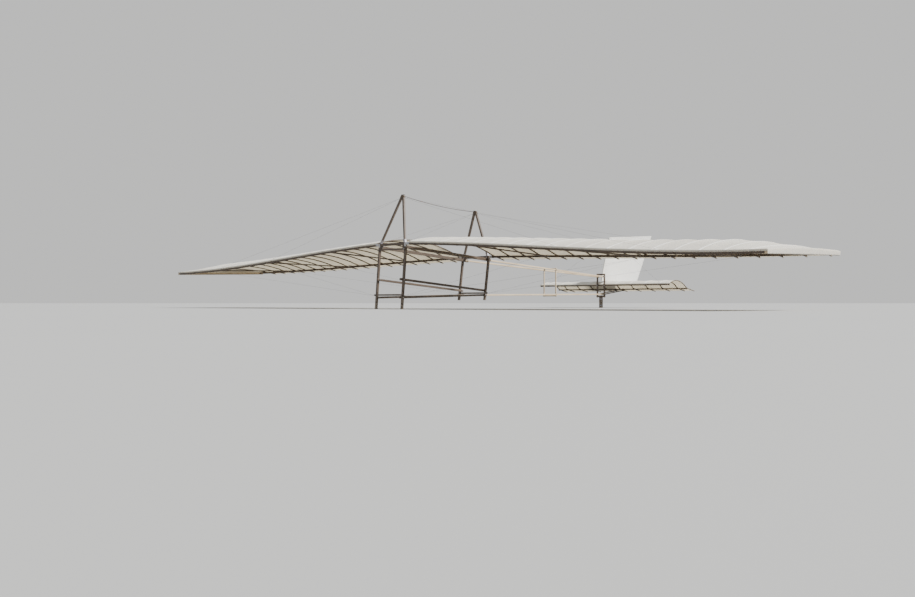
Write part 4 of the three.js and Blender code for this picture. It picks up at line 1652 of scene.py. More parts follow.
@dataclass
class Sewing(Assembly):
    """Tapes, tacks, stitches, edge cord and ties of one cloth."""

    cloth: SewnCloth
    ribs: Sequence[float]
    side: Side
    name: str
    rib_width: float
    rib_depth: float
    holes: Sequence[Pair] = ()
    mends: Sequence[Oval] = ()
    tape_width: float = 0.022
    tape_rise: float = 0.0006
    tape_sink: float = -0.0002
    tack_pitch: float = 0.075
    stitch_pitch: float = 0.012
    edge_cord: float = 0.003
    patch_radius: float = 0.032
    patch_sides: int = 24
    patch_rise: float = 0.0007
    patch_stitches: int = 22
    stitch_share: float = 0.88
    seam_half: float = 0.0035
    stitch_start: float = 0.006
    stitch_clear: float = 0.004
    hem_stitch: float = 0.0045
    tack_start: float = 0.03
    tack_clear: float = 0.01
    wrap_tack: float = 0.010
    lip_tack: float = 0.72
    cord_behind: float = 0.0008
    rib_twine: Turns = Turns(0.002, 4, 12)
    tie_behind: float = 0.0065

    def build(self) -> list[Piece]:
        """Make the trims and give the pieces that belong to the cloth.

        Returns:
            The pieces that move with the cloth.
        """
        tapes = self._joined("rib_tapes", (self._strip(x) for x in self.ribs))
        trims = [tapes, self._cord(), self._stitches(), self._patches()]
        self._tacks()
        self.gear.twine[PALE_TWINE] += [self._tie(x) for x in self.ribs]
        return trims

    def _top(self, x: float, y: float, lift: float = 0.0) -> Point:
        """A point over the cloth's upper face, on this side."""
        return self.side.place((x, y, self.cloth.surface(x, y) + self.cloth.thickness + lift))

    def _outward(self, x: float, y: float) -> Point:
        """The way that the cloth faces."""
        return (0.0, (self._top(x, y - 0.004)[2] - self._top(x, y + 0.004)[2]) / 0.008, 1.0)

    def _joined(self, name: str, parts: Iterable[tuple[list[Point], list[Ring]]]) -> Piece:
        """Join strips or patches, given as corners and faces, into one cloth piece.

        Args:
            name: the piece's name.
            parts: corners and faces of each part.

        Returns:
            The piece.
        """
        points, faces = [], []
        for corners, rings in parts:
            faces += [tuple(len(points) + k for k in ring) for ring in rings]
            points += corners
        return self.tape(f"{self.name}_{name}", points, faces, (0, 1))

    def _strip(self, x: float) -> tuple[list[Point], list[Ring]]:
        """One tape over a rib, as corners and faces.

        Args:
            x: the rib's station.

        Returns:
            Its corners and faces.
        """
        half = self.tape_width / 2
        ys = self.cloth.chords(x)
        ys[-1] -= 0.001
        points, faces = [], []
        for y in ys:
            for lift in (self.tape_sink, self.tape_rise):
                points += [self._top(u, y, lift + self.cloth.folded(x, y))
                    for u in (max(x - half, self.cloth.start + 0.0004), x, x + half)]
        for a in range(0, len(points) - 6, 6):
            b = a + 6
            faces += [(a + 3, a + 4, b + 4, b + 3), (a + 4, a + 5, b + 5, b + 4), (a, b, b + 1, a + 1),
                (a + 1, b + 1, b + 2, a + 2), (a, a + 3, b + 3, b), (a + 2, b + 2, b + 5, a + 5)]
        for a in (0, len(points) - 6):
            faces += [(a, a + 1, a + 4, a + 3), (a + 1, a + 2, a + 5, a + 4)]
        return points, faces

    def _disc(self, x: float, y: float, wide: float, deep: float,
              hole: float) -> tuple[list[Point], list[Ring]]:
        """A round or oval patch on the cloth, as corners and faces.

        Args:
            x: the middle's station.
            y: its place along the chord.
            wide: half its width.
            deep: half its depth.
            hole: the hole's share of it.

        Returns:
            Its corners and faces.
        """
        turns = [math.tau * k / self.patch_sides for k in range(self.patch_sides)]
        shares = (hole, 0.55, 1.0)
        rings = [(s, self.tape_sink) for s in shares] + [(s, self.patch_rise) for s in shares[::-1]]
        points = [self._top(x + wide * s * math.cos(t), y + deep * s * math.sin(t), lift)
            for s, lift in rings for t in turns]
        return points, tube_faces(len(rings), self.patch_sides)

    def _patches(self) -> Piece:
        """Round patches where wires pass through, and sewn mends."""
        parts = [self._disc(x, y, self.patch_radius, self.patch_radius, 0.09) for x, y in self.holes]
        return self._joined("patches", parts + [self._disc(*mend, 0.02) for mend in self.mends])

    def _cord(self) -> Piece:
        """The cord in the trailing edge.

        Returns:
            The piece.
        """
        cloth = self.cloth
        ends = [(x, cloth.trailing(x)) for x in cloth.stations()]
        rise = cloth.hem_rise + cloth.thickness / 2
        line = [self.side.place((x, y + self.cord_behind, cloth.surface(x, y) + rise)) for x, y in ends]
        cord = self.shop.line(f"{self.name}_edge_cord", [line], self.edge_cord, PALE_TWINE)
        return self.shop.fit(cord, Slot.CLOTH)

    def _tie(self, x: float) -> Line:
        """Twine that ties the cloth's edge to a rib's tail.

        Args:
            x: the rib's station.

        Returns:
            The twine's line.
        """
        height, y = self.cloth.contour.height, self.cloth.rear + self.tie_behind
        z = height(abs(x), y) - 0.0005 - self.rib_depth / 2
        way = (0.0, 0.02, height(abs(x), y) - height(abs(x), y - 0.02))
        return self.rib_twine.coil(self.side.place((x, y, z)), way, ACROSS, self.rib_width / 2,
            self.rib_depth / 2)

    def _tacks(self) -> None:
        """Tacks down every tape, along the tip and along the front lip."""
        cloth, wrap, place = self.cloth, self.cloth.tip_wrap, self.side.place
        for x in self.ribs:
            for y in floats(cloth.front + 0.02, cloth.trailing(x) - 0.01, self.tack_pitch):
                lift = self.tape_rise + cloth.folded(x, y) - 0.0001
                self.gear.put(Head.TACK, self._top(x, y, lift), self._outward(x, y))
        if wrap:
            x = wrap.outer + wrap.proud + cloth.thickness
            for y in floats(wrap.front[0] + 0.03, wrap.rear[0] - 0.02, self.tack_pitch):
                self.gear.put(Head.TACK, place((x, y, wrap.bottom(y) + self.wrap_tack)), place((1, 0, 0)))
        for x in floats(cloth.start + self.tack_start, cloth.stop - self.tack_clear, self.tack_pitch):
            z = cloth.surface(x, cloth.front) - cloth.wrap * self.lip_tack
            self.gear.put(Head.TACK, place((x, cloth.front - cloth.lip - cloth.thickness, z)), (0, -1, 0))

    def _stitches(self) -> Piece:
        """Stitches of the hem, the seams and the patches.

        Returns:
            The piece.
        """
        cloth = self.cloth
        sewn: list[tuple[float, float, Point]] = []
        clear = self.stitch_clear
        for x in floats(cloth.start + self.stitch_start, cloth.stop - clear, self.stitch_pitch):
            sewn.append((x, cloth.trailing(x) - cloth.hem + self.hem_stitch, (1, 0, 0)))
        for seam in cloth.seams():
            for aside in (-self.seam_half, self.seam_half):
                for y in floats(cloth.front + clear, cloth.trailing(seam) - clear, self.stitch_pitch):
                    sewn.append((seam + aside, y, (0, 1, 0)))
        patches = [(*hole, self.patch_radius, self.patch_radius) for hole in self.holes] + list(self.mends)
        for x, y, wide, deep in patches:
            for k in range(self.patch_stitches):
                c, s = (turn(math.tau * k / self.patch_stitches) for turn in (math.cos, math.sin))
                sewn.append((x + wide * self.stitch_share * c, y + deep * self.stitch_share * s,
                    self.side.place((-s, c, 0))))
        return self.stitched(f"{self.name}_stitches", [
            (Vector(self._top(x, y, cloth.folded(x, y))), Vector(self._outward(x, y)).normalized(),
             Vector(along)) for x, y, along in sewn])


# Wings, tail, frame and rigging


@dataclass
class Wing(Assembly):
    """One wing: two bending spars, arched ribs, cloth and tip bar."""

    side: Side
    first_rib: float = 0.330
    rib_pitch: float = 0.282
    rib_count: int = 18
    rib_width: float = 0.012
    rib_depth: float = 0.014
    rib_gap: float = 0.0005
    root: float = 0.322
    tip: float = 5.3
    spar_ends: Pair = (0.292, 5.2)
    spar_width: float = 0.024
    spar_depth: float = 0.030
    spar_corner: float = 0.003
    spar_steps: int = 3
    rib_corner: float = 0.0015
    tip_corner: float = 0.004
    rear_spar_faces: Pair = (-1.4483, -1.4243)
    tail_overhang: float = 0.021
    wire_holes: tuple[Pair, ...] = ((2.768, -1.4363), (4.128, -1.4363))
    front_wire_patches: tuple[Oval, ...] = (
        (2.709, -3.0482, 0.028, 0.0145), (4.048, -3.0482, 0.028, 0.0145))

    def __post_init__(self) -> None:
        """Read the wing's stations from its CAD nodes."""
        tag = self.side.tag
        self.contour = Contour(f"wing_skin_{tag}")
        self.ribs = [self.first_rib + i * self.rib_pitch for i in range(self.rib_count)]
        self.front_spar = self._spar_line(f"front_spar_{tag}")
        self.rear_spar = self._spar_line(f"rear_spar_and_ribs_{tag}", self.rear_spar_faces)

    def _spar_line(self, node: str, faces: Pair | None = None) -> list[Point]:
        """Read a spar's centre line.

        Args:
            node: the CAD node it is in.
            faces: its front and rear faces, where the node holds more than the spar.

        Returns:
            The centre line on this side.
        """
        stations: dict[float, list[Point]] = {}
        wanted = [round(x, 3) for x in self.ribs]
        inner, outer = self.spar_ends
        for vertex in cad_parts[node].data.vertices:
            x, y, z = abs(vertex.co.x), vertex.co.y, vertex.co.z
            if faces and min(abs(y - face) for face in faces) > 0.0004:
                continue
            at = round(x, 3)
            if at in wanted or x < inner or x > outer:
                stations.setdefault(at, []).append((x, y, z))
        line = []
        for at in sorted(stations):
            corners = np.array(stations[at])
            x, y, _ = (corners.min(0) + corners.max(0)) / 2
            z = float(corners[:, 2].min()) + self.spar_depth / 2
            line.append(self.side.place((float(x), float(y), z)))
        return line

    def rib_line(self, x: float) -> Line:
        """Centre line of one rib, under the cloth."""
        return [self.side.place(p) for p in self.contour.rib_line(x, self.rib_gap + self.rib_depth / 2)]

    def build(self) -> None:
        """Build the wing."""
        tag, shop = self.side.tag, self.shop
        front, rear = (
            shop.bar(f"{row}_spar_{tag}_planed", [line], self.spar_width, self.spar_depth, SHADE_DARKENED_TIMBER,
                self.spar_corner, self.spar_steps)
            for row, line in (("front", self.front_spar), ("rear", self.rear_spar)))
        shop.fit(front, Slot.FRAME_WOOD, f"front_spar_{tag}")
        lines = [self.rib_line(x) for x in self.ribs]
        ribs = shop.bar(f"ribs_{tag}", lines, self.rib_width, self.rib_depth, SHADE_DARKENED_RIB_TIMBER,
            self.rib_corner)
        for piece in (rear, ribs):
            shop.fit(piece, Slot.FRAME_WOOD, f"rear_spar_and_ribs_{tag}")
        shop.plane(f"tip_bar_{tag}", SUNLIT_PAINTED_TIMBER, Slot.BOOM_WOOD, self.tip_corner)
        self.cloth()

    def cloth(self) -> None:
        """Sew and stretch the cloth."""
        tag, shop = self.side.tag, self.shop
        sewn = SewnCloth(self.contour, [self.root, *self.ribs, self.tip], self.tail_overhang,
            self.spar_width, tip_wrap=TipWrap())
        sheet = new_object(f"wing_cloth_{tag}", sewn.mesh(f"wing_cloth_{tag}", self.side))
        piece = shop.fit(dressed(sheet, shop.paint(WING_CLOTH)), Slot.CLOTH, f"wing_skin_{tag}")
        trims = Sewing(self.gear, sewn, self.ribs, self.side, f"wing_{tag}", self.rib_width, self.rib_depth,
            holes=self.wire_holes, mends=self.front_wire_patches).build()


@dataclass
class Tailplane(Assembly):
    """The fixed tailplane with its ribs and its single layer of cloth."""

    ribs: tuple[float, ...] = (-1.294, -1.12, -0.84, -0.56, -0.28, 0.0, 0.28, 0.56, 0.84, 1.12, 1.294)
    half_span: float = 1.3
    rib_width: float = 0.010
    rib_depth: float = 0.012
    rib_gap: float = 0.0005
    spar: Point = (1.3, 2.1757, 0.312)
    spar_width: float = 0.018
    spar_depth: float = 0.020
    spar_corner: float = 0.002
    rib_corner: float = 0.0013
    lashing_size: float = 0.75
    front_spar_top: float = 0.382
    tail_overhang: float = 0.018
    mend: Oval = (0.44, 2.02, 0.05, 0.035)

    def build(self) -> None:
        """Build the tailplane."""
        shop, contour = self.shop, Contour("tailplane_skin")
        lines = [contour.rib_line(x, self.rib_gap + self.rib_depth / 2) for x in self.ribs]
        ribs = shop.bar("tail_ribs", lines, self.rib_width, self.rib_depth, SHADE_DARKENED_RIB_TIMBER,
            self.rib_corner)
        x, y, z = self.spar
        spar = shop.bar("tail_rear_spar_planed", [[(-x, y, z), (0, y, z), (x, y, z)]], self.spar_width,
            self.spar_depth, SHADE_DARKENED_TIMBER, self.spar_corner)
        for piece in (ribs, spar):
            shop.fit(piece, Slot.FRAME_WOOD, "tail_rear_spar_and_ribs")
        sewn = SewnCloth(contour, [-self.half_span, *self.ribs[1:-1], self.half_span], self.tail_overhang,
            self.spar_width, sag=0.006, scallop=0.010, chord=36, wrap=0.014, prop=y)
        sheet = new_object("tailplane_cloth", sewn.mesh("tailplane_cloth", Side.LEFT))
        piece = shop.fit(dressed(sheet, shop.paint(WING_CLOTH)), Slot.CLOTH, "tailplane_skin")
        trims = Sewing(self.gear, sewn, self.ribs[1:-1], Side.LEFT, "tailplane", self.rib_width,
            self.rib_depth, mends=(self.mend,)).build()
        spars = ((contour.ys[0] + self.spar_width / 2, self.front_spar_top), (y, z + self.spar_depth / 2))
        places = [(rib, *spar) for rib in self.ribs for spar in spars]
        self.bind_ribs("tail_rib_lashings", places, self.lashing_size)


@dataclass
class Fin(Assembly):
    """The raked fin: a stick frame with cloth on both faces."""

    outline: tuple[Pair, ...] = (
        (1.649, 0.4475), (1.6737, 0.566), (1.8757, 1.18), (3.1457, 1.262), (2.6857, 0.4475))
    stick: float = 0.0105
    stick_depth: float = 0.014
    stick_corner: float = 0.0015
    stick_inset: float = 0.008
    inner_inset: float = 0.010
    inner_places: Pair = (0.36, 0.69)
    cloth_gap: float = 0.0002
    cloth_thickness: float = 0.0009
    hollow: float = 0.0035
    hollow_reach: float = 0.11
    hem: float = 0.014
    cell: float = 0.022
    tape_rise: float = 0.0009
    tape_gap: float = 0.0001
    fold: float = 0.016
    stitch_pitch: float = 0.012
    seam_half: float = 0.0045
    seam_inset: float = 0.0035
    seam_ends: Pair = (0.03, 0.97)
    stitch_ends: Pair = (0.006, 0.004)
    tack_pitch: float = 0.085
    tack_share: float = 0.4
    tack_ends: Pair = (0.03, 0.01)
    hollow_power: float = 0.6

    @property
    def skin(self) -> float:
        """How far the cloth's outer face lies from the middle of the fin."""
        return self.stick / 2 + self.cloth_gap + self.cloth_thickness

    @staticmethod
    def _edges(ring: Sequence[Pair]) -> list[tuple[Vector, Vector, Vector]]:
        """Start, direction and outward way of each edge of a ring of corners.

        Args:
            ring: corners in Y and Z.

        Returns:
            The three vectors of each edge.
        """
        points = [Vector(p) for p in ring]
        middle = sum(points, Vector((0, 0))) / len(points)
        edges = []
        for a, b in around(points):
            along = (b - a).normalized()
            out = Vector((along.y, -along.x))
            edges.append((a, along, -out if (middle - a).dot(out) > 0 else out))
        return edges

    def _inset(self, amount: float) -> list[Pair]:
        """Draw the outline in by an amount.

        Args:
            amount: how far in.

        Returns:
            The smaller ring of corners.
        """
        edges = [(a - out * amount, along) for a, along, out in self._edges(self.outline)]
        moved = []
        for (p, u), (q, v) in zip([edges[-1], *edges], edges):
            t = ((q - p).x * v.y - (q - p).y * v.x) / (u.x * v.y - u.y * v.x)
            moved.append(tuple(p + u * t))
        return moved

    def inner_sticks(self) -> list[tuple[Pair, Pair]]:
        """Two inner uprights that follow the rake, as their ends in (y, z)."""
        low_front, _, high_front, high_rear, low_rear = (Vector(p) for p in self._inset(self.inner_inset))
        return [(tuple(low_front.lerp(low_rear, t)), tuple(high_front.lerp(high_rear, t)))
            for t in self.inner_places]

    def build(self) -> None:
        """Build the fin."""
        lines = [[(0.0, *a), (0.0, *b)]
            for a, b in around(self._inset(self.stick_inset)) + self.inner_sticks()]
        sticks = self.shop.bar("fin_frame", lines, self.stick, self.stick_depth, SHADE_DARKENED_RIB_TIMBER,
            self.stick_corner)
        self.shop.fit(sticks, Slot.FRAME_WOOD, "fin")
        trims = [self._binding(), self._sewing()]
        for side in Side:
            piece = self.shop.fit(self._face(side), Slot.CLOTH, "fin")

    def _binding(self) -> Piece:
        """Fold a tape round the edges of both faces, mitred at the corners.

        Returns:
            The piece.
        """
        inner = self.skin + self.tape_gap
        outer, out, fold = inner + self.tape_rise, -self.tape_rise, self.fold
        profile = ((outer, fold), (outer, out), (-outer, out), (-outer, fold),
            (-inner, fold), (-inner, 0.0), (inner, 0.0), (inner, fold))
        points = [(x, *p) for x, amount in profile for p in self._inset(amount)]
        faces = tube_faces(len(profile), len(self.outline))
        return self.tape("fin_edge_binding", points, faces, (1, 2))

    def _sewing(self) -> Piece:
        """Stitch the binding and the cloth over the sticks, and tack the binding down.

        Returns:
            The piece.
        """
        rise = self.tape_rise + self.tape_gap
        runs = [(Vector(a), Vector(b), rise) for a, b in around(self._inset(self.fold - self.seam_inset))]
        for a, b in self.inner_sticks():
            low, high = (Vector(a).lerp(Vector(b), share) for share in self.seam_ends)
            aside = Vector(((high - low).y, -(high - low).x)).normalized() * self.seam_half
            runs += [(low + aside * hand, high + aside * hand, 0.0) for hand in (-1, 1)]
        rows = []
        first, last = self.stitch_ends
        near, far = self.tack_ends
        for side in Side:
            out = Vector((side.value, 0, 0))
            for low, high, lift in runs:
                way = (high - low).normalized()
                for t in floats(first, (high - low).length - last, self.stitch_pitch):
                    place = Vector((side.value * (self.skin + lift), *(low + way * t)))
                    rows.append((place, out, Vector((0, *way))))
            face = side.value * (self.skin + rise)
            for low, high in around([Vector(p) for p in self._inset(self.fold * self.tack_share)]):
                way = (high - low).normalized()
                for t in floats(near, (high - low).length - far, self.tack_pitch):
                    self.gear.put(Head.TACK, (face, *(low + way * t)), out)
        return self.stitched("fin_stitches", rows)

    @staticmethod
    def _distance(place: Vector, ends: Iterable[tuple[Pair, Pair]]) -> float:
        """How far a place lies from the nearest of several lines.

        Args:
            place: the place.
            ends: both ends of each line.

        Returns:
            The distance.
        """
        gaps = []
        for a, b in ((Vector(a), Vector(b)) for a, b in ends):
            share = clamped((place - a).dot(b - a) / (b - a).length_squared)
            gaps.append((place - a.lerp(b, share)).length)
        return min(gaps)

    def _grid(self) -> bmesh.types.BMesh:
        """Cut a square net to the fin's outline, with a line where the hem is turned in.

        Returns:
            The net.
        """
        shape = bmesh.new()
        ys, zs = zip(*self.outline)
        low_y, low_z = min(ys), min(zs)
        wide, high = (int((max(v) - min(v)) / self.cell) + 1 for v in (ys, zs))
        grid = [
            [shape.verts.new((0, low_y + i * self.cell, low_z + j * self.cell)) for j in range(high + 1)]
            for i in range(wide + 1)]
        for i in range(wide):
            for j in range(high):
                shape.faces.new((grid[i][j], grid[i + 1][j], grid[i + 1][j + 1], grid[i][j + 1]))
        for ring, clear in ((self._inset(self.hem), False), (self.outline, True)):
            for start, _, out in self._edges(ring):
                bmesh.ops.bisect_plane(shape, geom=shape.verts[:] + shape.edges[:] + shape.faces[:],
                    plane_co=(0, *start), plane_no=(0, *out), clear_outer=clear)
        return shape

    def _face(self, side: Side) -> Piece:
        """Make the cloth of one face as a thin closed sheet.

        Args:
            side: which face.

        Returns:
            The piece.
        """
        shape = self._grid()
        sticks = around(self.outline) + self.inner_sticks()
        for vertex in shape.verts:
            gap = max(0.0, self._distance(Vector(vertex.co.yz), sticks) - self.stick_depth)
            hollow = self.hollow * min(1.0, gap / self.hollow_reach) ** self.hollow_power
            vertex.co.x = side.value * (self.stick / 2 + self.cloth_gap - hollow)
        bmesh.ops.recalc_face_normals(shape, faces=shape.faces)
        if sum(f.normal.x for f in shape.faces) * side.value < 0:
            bmesh.ops.reverse_faces(shape, faces=shape.faces)
        layer = shape.loops.layers.uv.new("cloth")
        for face in shape.faces:
            face.smooth = True
            for loop in face.loops:
                loop[layer].uv = loop.vert.co.yz
        mesh = bpy.data.meshes.new("fin_cloth")
        shape.to_mesh(mesh)
        shape.free()
        worked = new_object("fin_cloth_work", mesh)
        wall = worked.modifiers.new("thickness", "SOLIDIFY")
        wall.thickness = self.cloth_thickness
        wall.offset = 1.0
        return dressed(plain_mesh(worked, f"fin_cloth_{side.tag}"), self.shop.paint(FIN_CLOTH))


@dataclass
class MainStay(Assembly):
    """The slightly slack wire rope between the heads of the king posts."""

    start: Point = (0.0, -2.8592, 1.5100)
    end: Point = (0.0, -1.4639, 1.3890)
    sag: float = 0.030
    diameter: float = 0.009
    strands: int = 3
    lay: float = 0.030
    points_per_turn: int = 8
    head_twine: Turns = Turns(0.0026, 7, 20, 0.25)
    head_taper: float = -0.337
    heads: tuple[tuple[Point, Point, float], ...] = (
        ((0.0, -2.8768, 1.4965), (0, 0.287, 1), 0.0338), ((0.0, -1.4495, 1.3785), (0, -0.02, 1), 0.0328))
    seizing: Turns = Turns(0.0012, 14, 8, 1.0)
    seized_at: tuple[float, ...] = (0.022, 0.05, 0.95, 0.978)

    def centre(self, t: float) -> Vector:
        """A point of the hanging line, from 0 at the front to 1 at the rear.

        Args:
            t: the share of the way.

        Returns:
            The point.
        """
        place = Vector(self.start).lerp(Vector(self.end), t)
        place.z -= 4 * self.sag * t * (1 - t)
        return place

    def build(self) -> None:
        """Lay up the rope."""
        length = (Vector(self.end) - Vector(self.start)).length
        count = int(length / self.lay * self.points_per_turn)
        strand = self.diameter * 0.48
        swing = (self.diameter - strand) / 2
        lines = []
        for k in range(self.strands):
            line = []
            for i in range(count + 1):
                turn = math.tau * (i / self.points_per_turn + k / self.strands)
                aside = Vector((math.cos(turn), 0, math.sin(turn)))
                line.append(tuple(self.centre(i / count) + aside * swing))
            lines.append(line)
        self.shop.fit(self.shop.line("main_stay_rope", lines, strand, WIRE_STEEL), Slot.STEEL, "main_stay")

    def tie(self) -> None:
        """Bind the king post heads and seize the stay to them."""
        for centre, axis, half in self.heads:
            self.gear.twine[DARK_TWINE].append(
                self.head_twine.coil(centre, axis, ACROSS, half, 0.0132, self.head_taper))
        for t in self.seized_at:
            way = self.centre(t + 0.01) - self.centre(t - 0.01)
            self.gear.seizings.append(self.seizing.coil(self.centre(t), way, ACROSS, 0.0025, 0.0025))


@dataclass
class FrameFittings(Assembly):
    """Bolts, plates and shoes of the box frame and the king posts, given for the left side."""

    bolts: tuple[tuple[Point, Point], ...] = (
        ((0.2651, -3.057, 0.819), (0.2046, -3.057, 0.819)),
        ((0.2651, -1.442, 0.698), (0.2046, -1.442, 0.698)),
        ((0.2651, -3.094, 0.388), (0.2106, -3.094, 0.388)),
        ((0.2651, -3.114, 0.152), (0.2126, -3.114, 0.152)),
        ((0.2651, -1.504, 0.258), (0.2106, -1.504, 0.258)),
        ((0.2651, -1.513, 0.193), (0.2126, -1.513, 0.193)),
        ((0.25, -3.0952, 0.786), (0.25, -3.0452, 0.786)),
        ((0.25, -3.1463, 0.186), (0.25, -3.0962, 0.186)),
        ((0.25, -1.5253, 0.222), (0.25, -1.4749, 0.222)),
        ((0.2348, -1.468, 0.194), (0.1916, -1.468, 0.194)),
        ((0.2348, -1.405, 0.694), (0.1845, -1.405, 0.694)))
    bar_ends: tuple[Point, ...] = ((0.293, -3.0543, 0.856), (0.293, -1.4363, 0.735))
    socket: Band = Band(0.0153, 0.0163, 0.054, 0.0014)
    socket_screw: Pair = (0.0205, 0.0085)
    socket_bolt: float = 0.011
    head_plate: Plate = Plate((0.066, 0.0), 0.026, 0.0016)
    head_place: Point = (0.25, -3.0708, 0.835)
    head_screws: tuple[float, ...] = (-0.024, -0.008, 0.014, 0.027)
    beam_brackets: tuple[tuple[Point, Point], ...] = (
        ((0.2197, -3.0391, 0.8374), (0, 1, -0.075)), ((0.2197, -1.4515, 0.7185), (0, -1, 0.075)))
    shoe_height: float = 0.045
    shoe_wall: float = 0.0015
    shoe_gap: float = 0.0004
    shoe_screws: tuple[tuple[float, int], ...] = ((0.022, 1), (0.034, -1))
    bars: tuple[tuple[str, float, float], ...] = (("front", -3.0543, 0.8721), ("rear", -1.43633, 0.7511))
    sole: Plate = Plate((0.076, 0.0), 0.028, 0.0016)
    sole_middle: float = 0.224
    sole_screws: Pair = (0.195, 0.254)

    def build(self) -> None:
        """Place the fittings on both sides."""
        for side in Side:
            at = side.place
            for start, end in self.bolts:
                self.gear.bolt(at(start), at(end))
            for centre in self.bar_ends:
                self._socket(side, at(centre))
            self._head_plate(*at(self.head_place))
            for corner, way in self.beam_brackets:
                self.gear.bracket(at(corner), way, (0, 0, 1), (0.030, 0.026), 0.022)
            for row, y, top in self.bars:
                screws = self._shoe(f"{row}_king_leg_{side.tag}", top)
                self._sole(side, y, top)
                for spot, out in screws:
                    self.gear.put(Head.SCREW, spot, out)

    def _socket(self, side: Side, centre: Point) -> None:
        """Fold a plate socket round the joint of a centre bar and a spar.

        Args:
            side: which side it is on.
            centre: the joint's middle.
        """
        x, y, z = centre
        self.gear.plate(self.socket.bent("spar_socket", centre, (1, 0, 0), (0, 1, 0)), PALE_STEEL)
        face, (aside, lift) = self.socket.half_side + self.socket.wall, self.socket_screw
        for rise in (-lift, lift):
            for way in (-1, 1):
                self.gear.put(Head.SCREW, (x - side.value * aside, y + way * face, z + rise), (0, way, 0))
        at = x + side.value * self.socket_bolt
        self.gear.bolt((at, y - face, z), (at, y + face, z))

    def _head_plate(self, x: float, y: float, z: float) -> None:
        """Screw a plate across the front post's head and the centre bar.

        Args:
            x: the plate's middle.
            y: its face.
            z: its middle height.
        """
        plate = self.head_plate
        self.gear.plate(plate.bent("head_plate", (x, y, z), (0, 0, 1), (0, -1, 0)), PALE_STEEL)
        for lift in self.head_screws:
            self.gear.put(Head.SCREW, (x, y - plate.thickness, z + lift), (0, -1, 0))

    def _shoe(self, node: str, top: float) -> list[tuple[Vector, Point]]:
        """Fold a shoe round a king post leg's foot, which stands on a bar.

        Args:
            node: the leg's CAD node.
            top: height of the bar's upper face.

        Returns:
            Where its screws go, and which way they face.
        """
        corners = sorted({tuple(round(c, 5) for c in v.co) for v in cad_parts[node].data.vertices},
            key=lambda p: p[2])
        foot, head = ([Vector(c) for c in four] for four in (corners[:4], corners[-4:]))
        middle = sum(foot, Vector()) / 4
        way = (sum(head, Vector()) / 4 - middle).normalized()
        foot.sort(key=lambda p: math.atan2(p.y - middle.y, p.x - middle.x))
        inner, outer = self.shoe_gap, self.shoe_gap + self.shoe_wall
        points = []
        for out, lift in ((inner, 0.0), (inner, self.shoe_height), (outer, self.shoe_height), (outer, 0.0)):
            for p in foot:
                x, y = (p[k] + math.copysign(out, p[k] - middle[k]) for k in (0, 1))
                points.append(Vector((x, y, top)) + way * lift)
        self.gear.plate(new_object("leg_shoe", closed_mesh("leg_shoe", points, tube_faces(4, 4))))
        half = max(abs(p.y - middle.y) for p in foot) + outer
        return [(middle + way * up + Vector((0, reach * half, 0)), (0, reach, 0))
            for up, reach in self.shoe_screws]

    def _sole(self, side: Side, y: float, top: float) -> None:
        """Screw the shoe's sole to the bar.

        Args:
            side: which side the leg is on.
            y: the bar's middle.
            top: height of the bar's upper face.
        """
        place = side.place((self.sole_middle, y, top))
        self.gear.plate(self.sole.bent("shoe_sole", place, (1, 0, 0), (0, 0, 1)))
        for x in self.sole_screws:
            self.gear.put(Head.SCREW, side.place((x, y, top + self.sole.thickness)), (0, 0, 1))


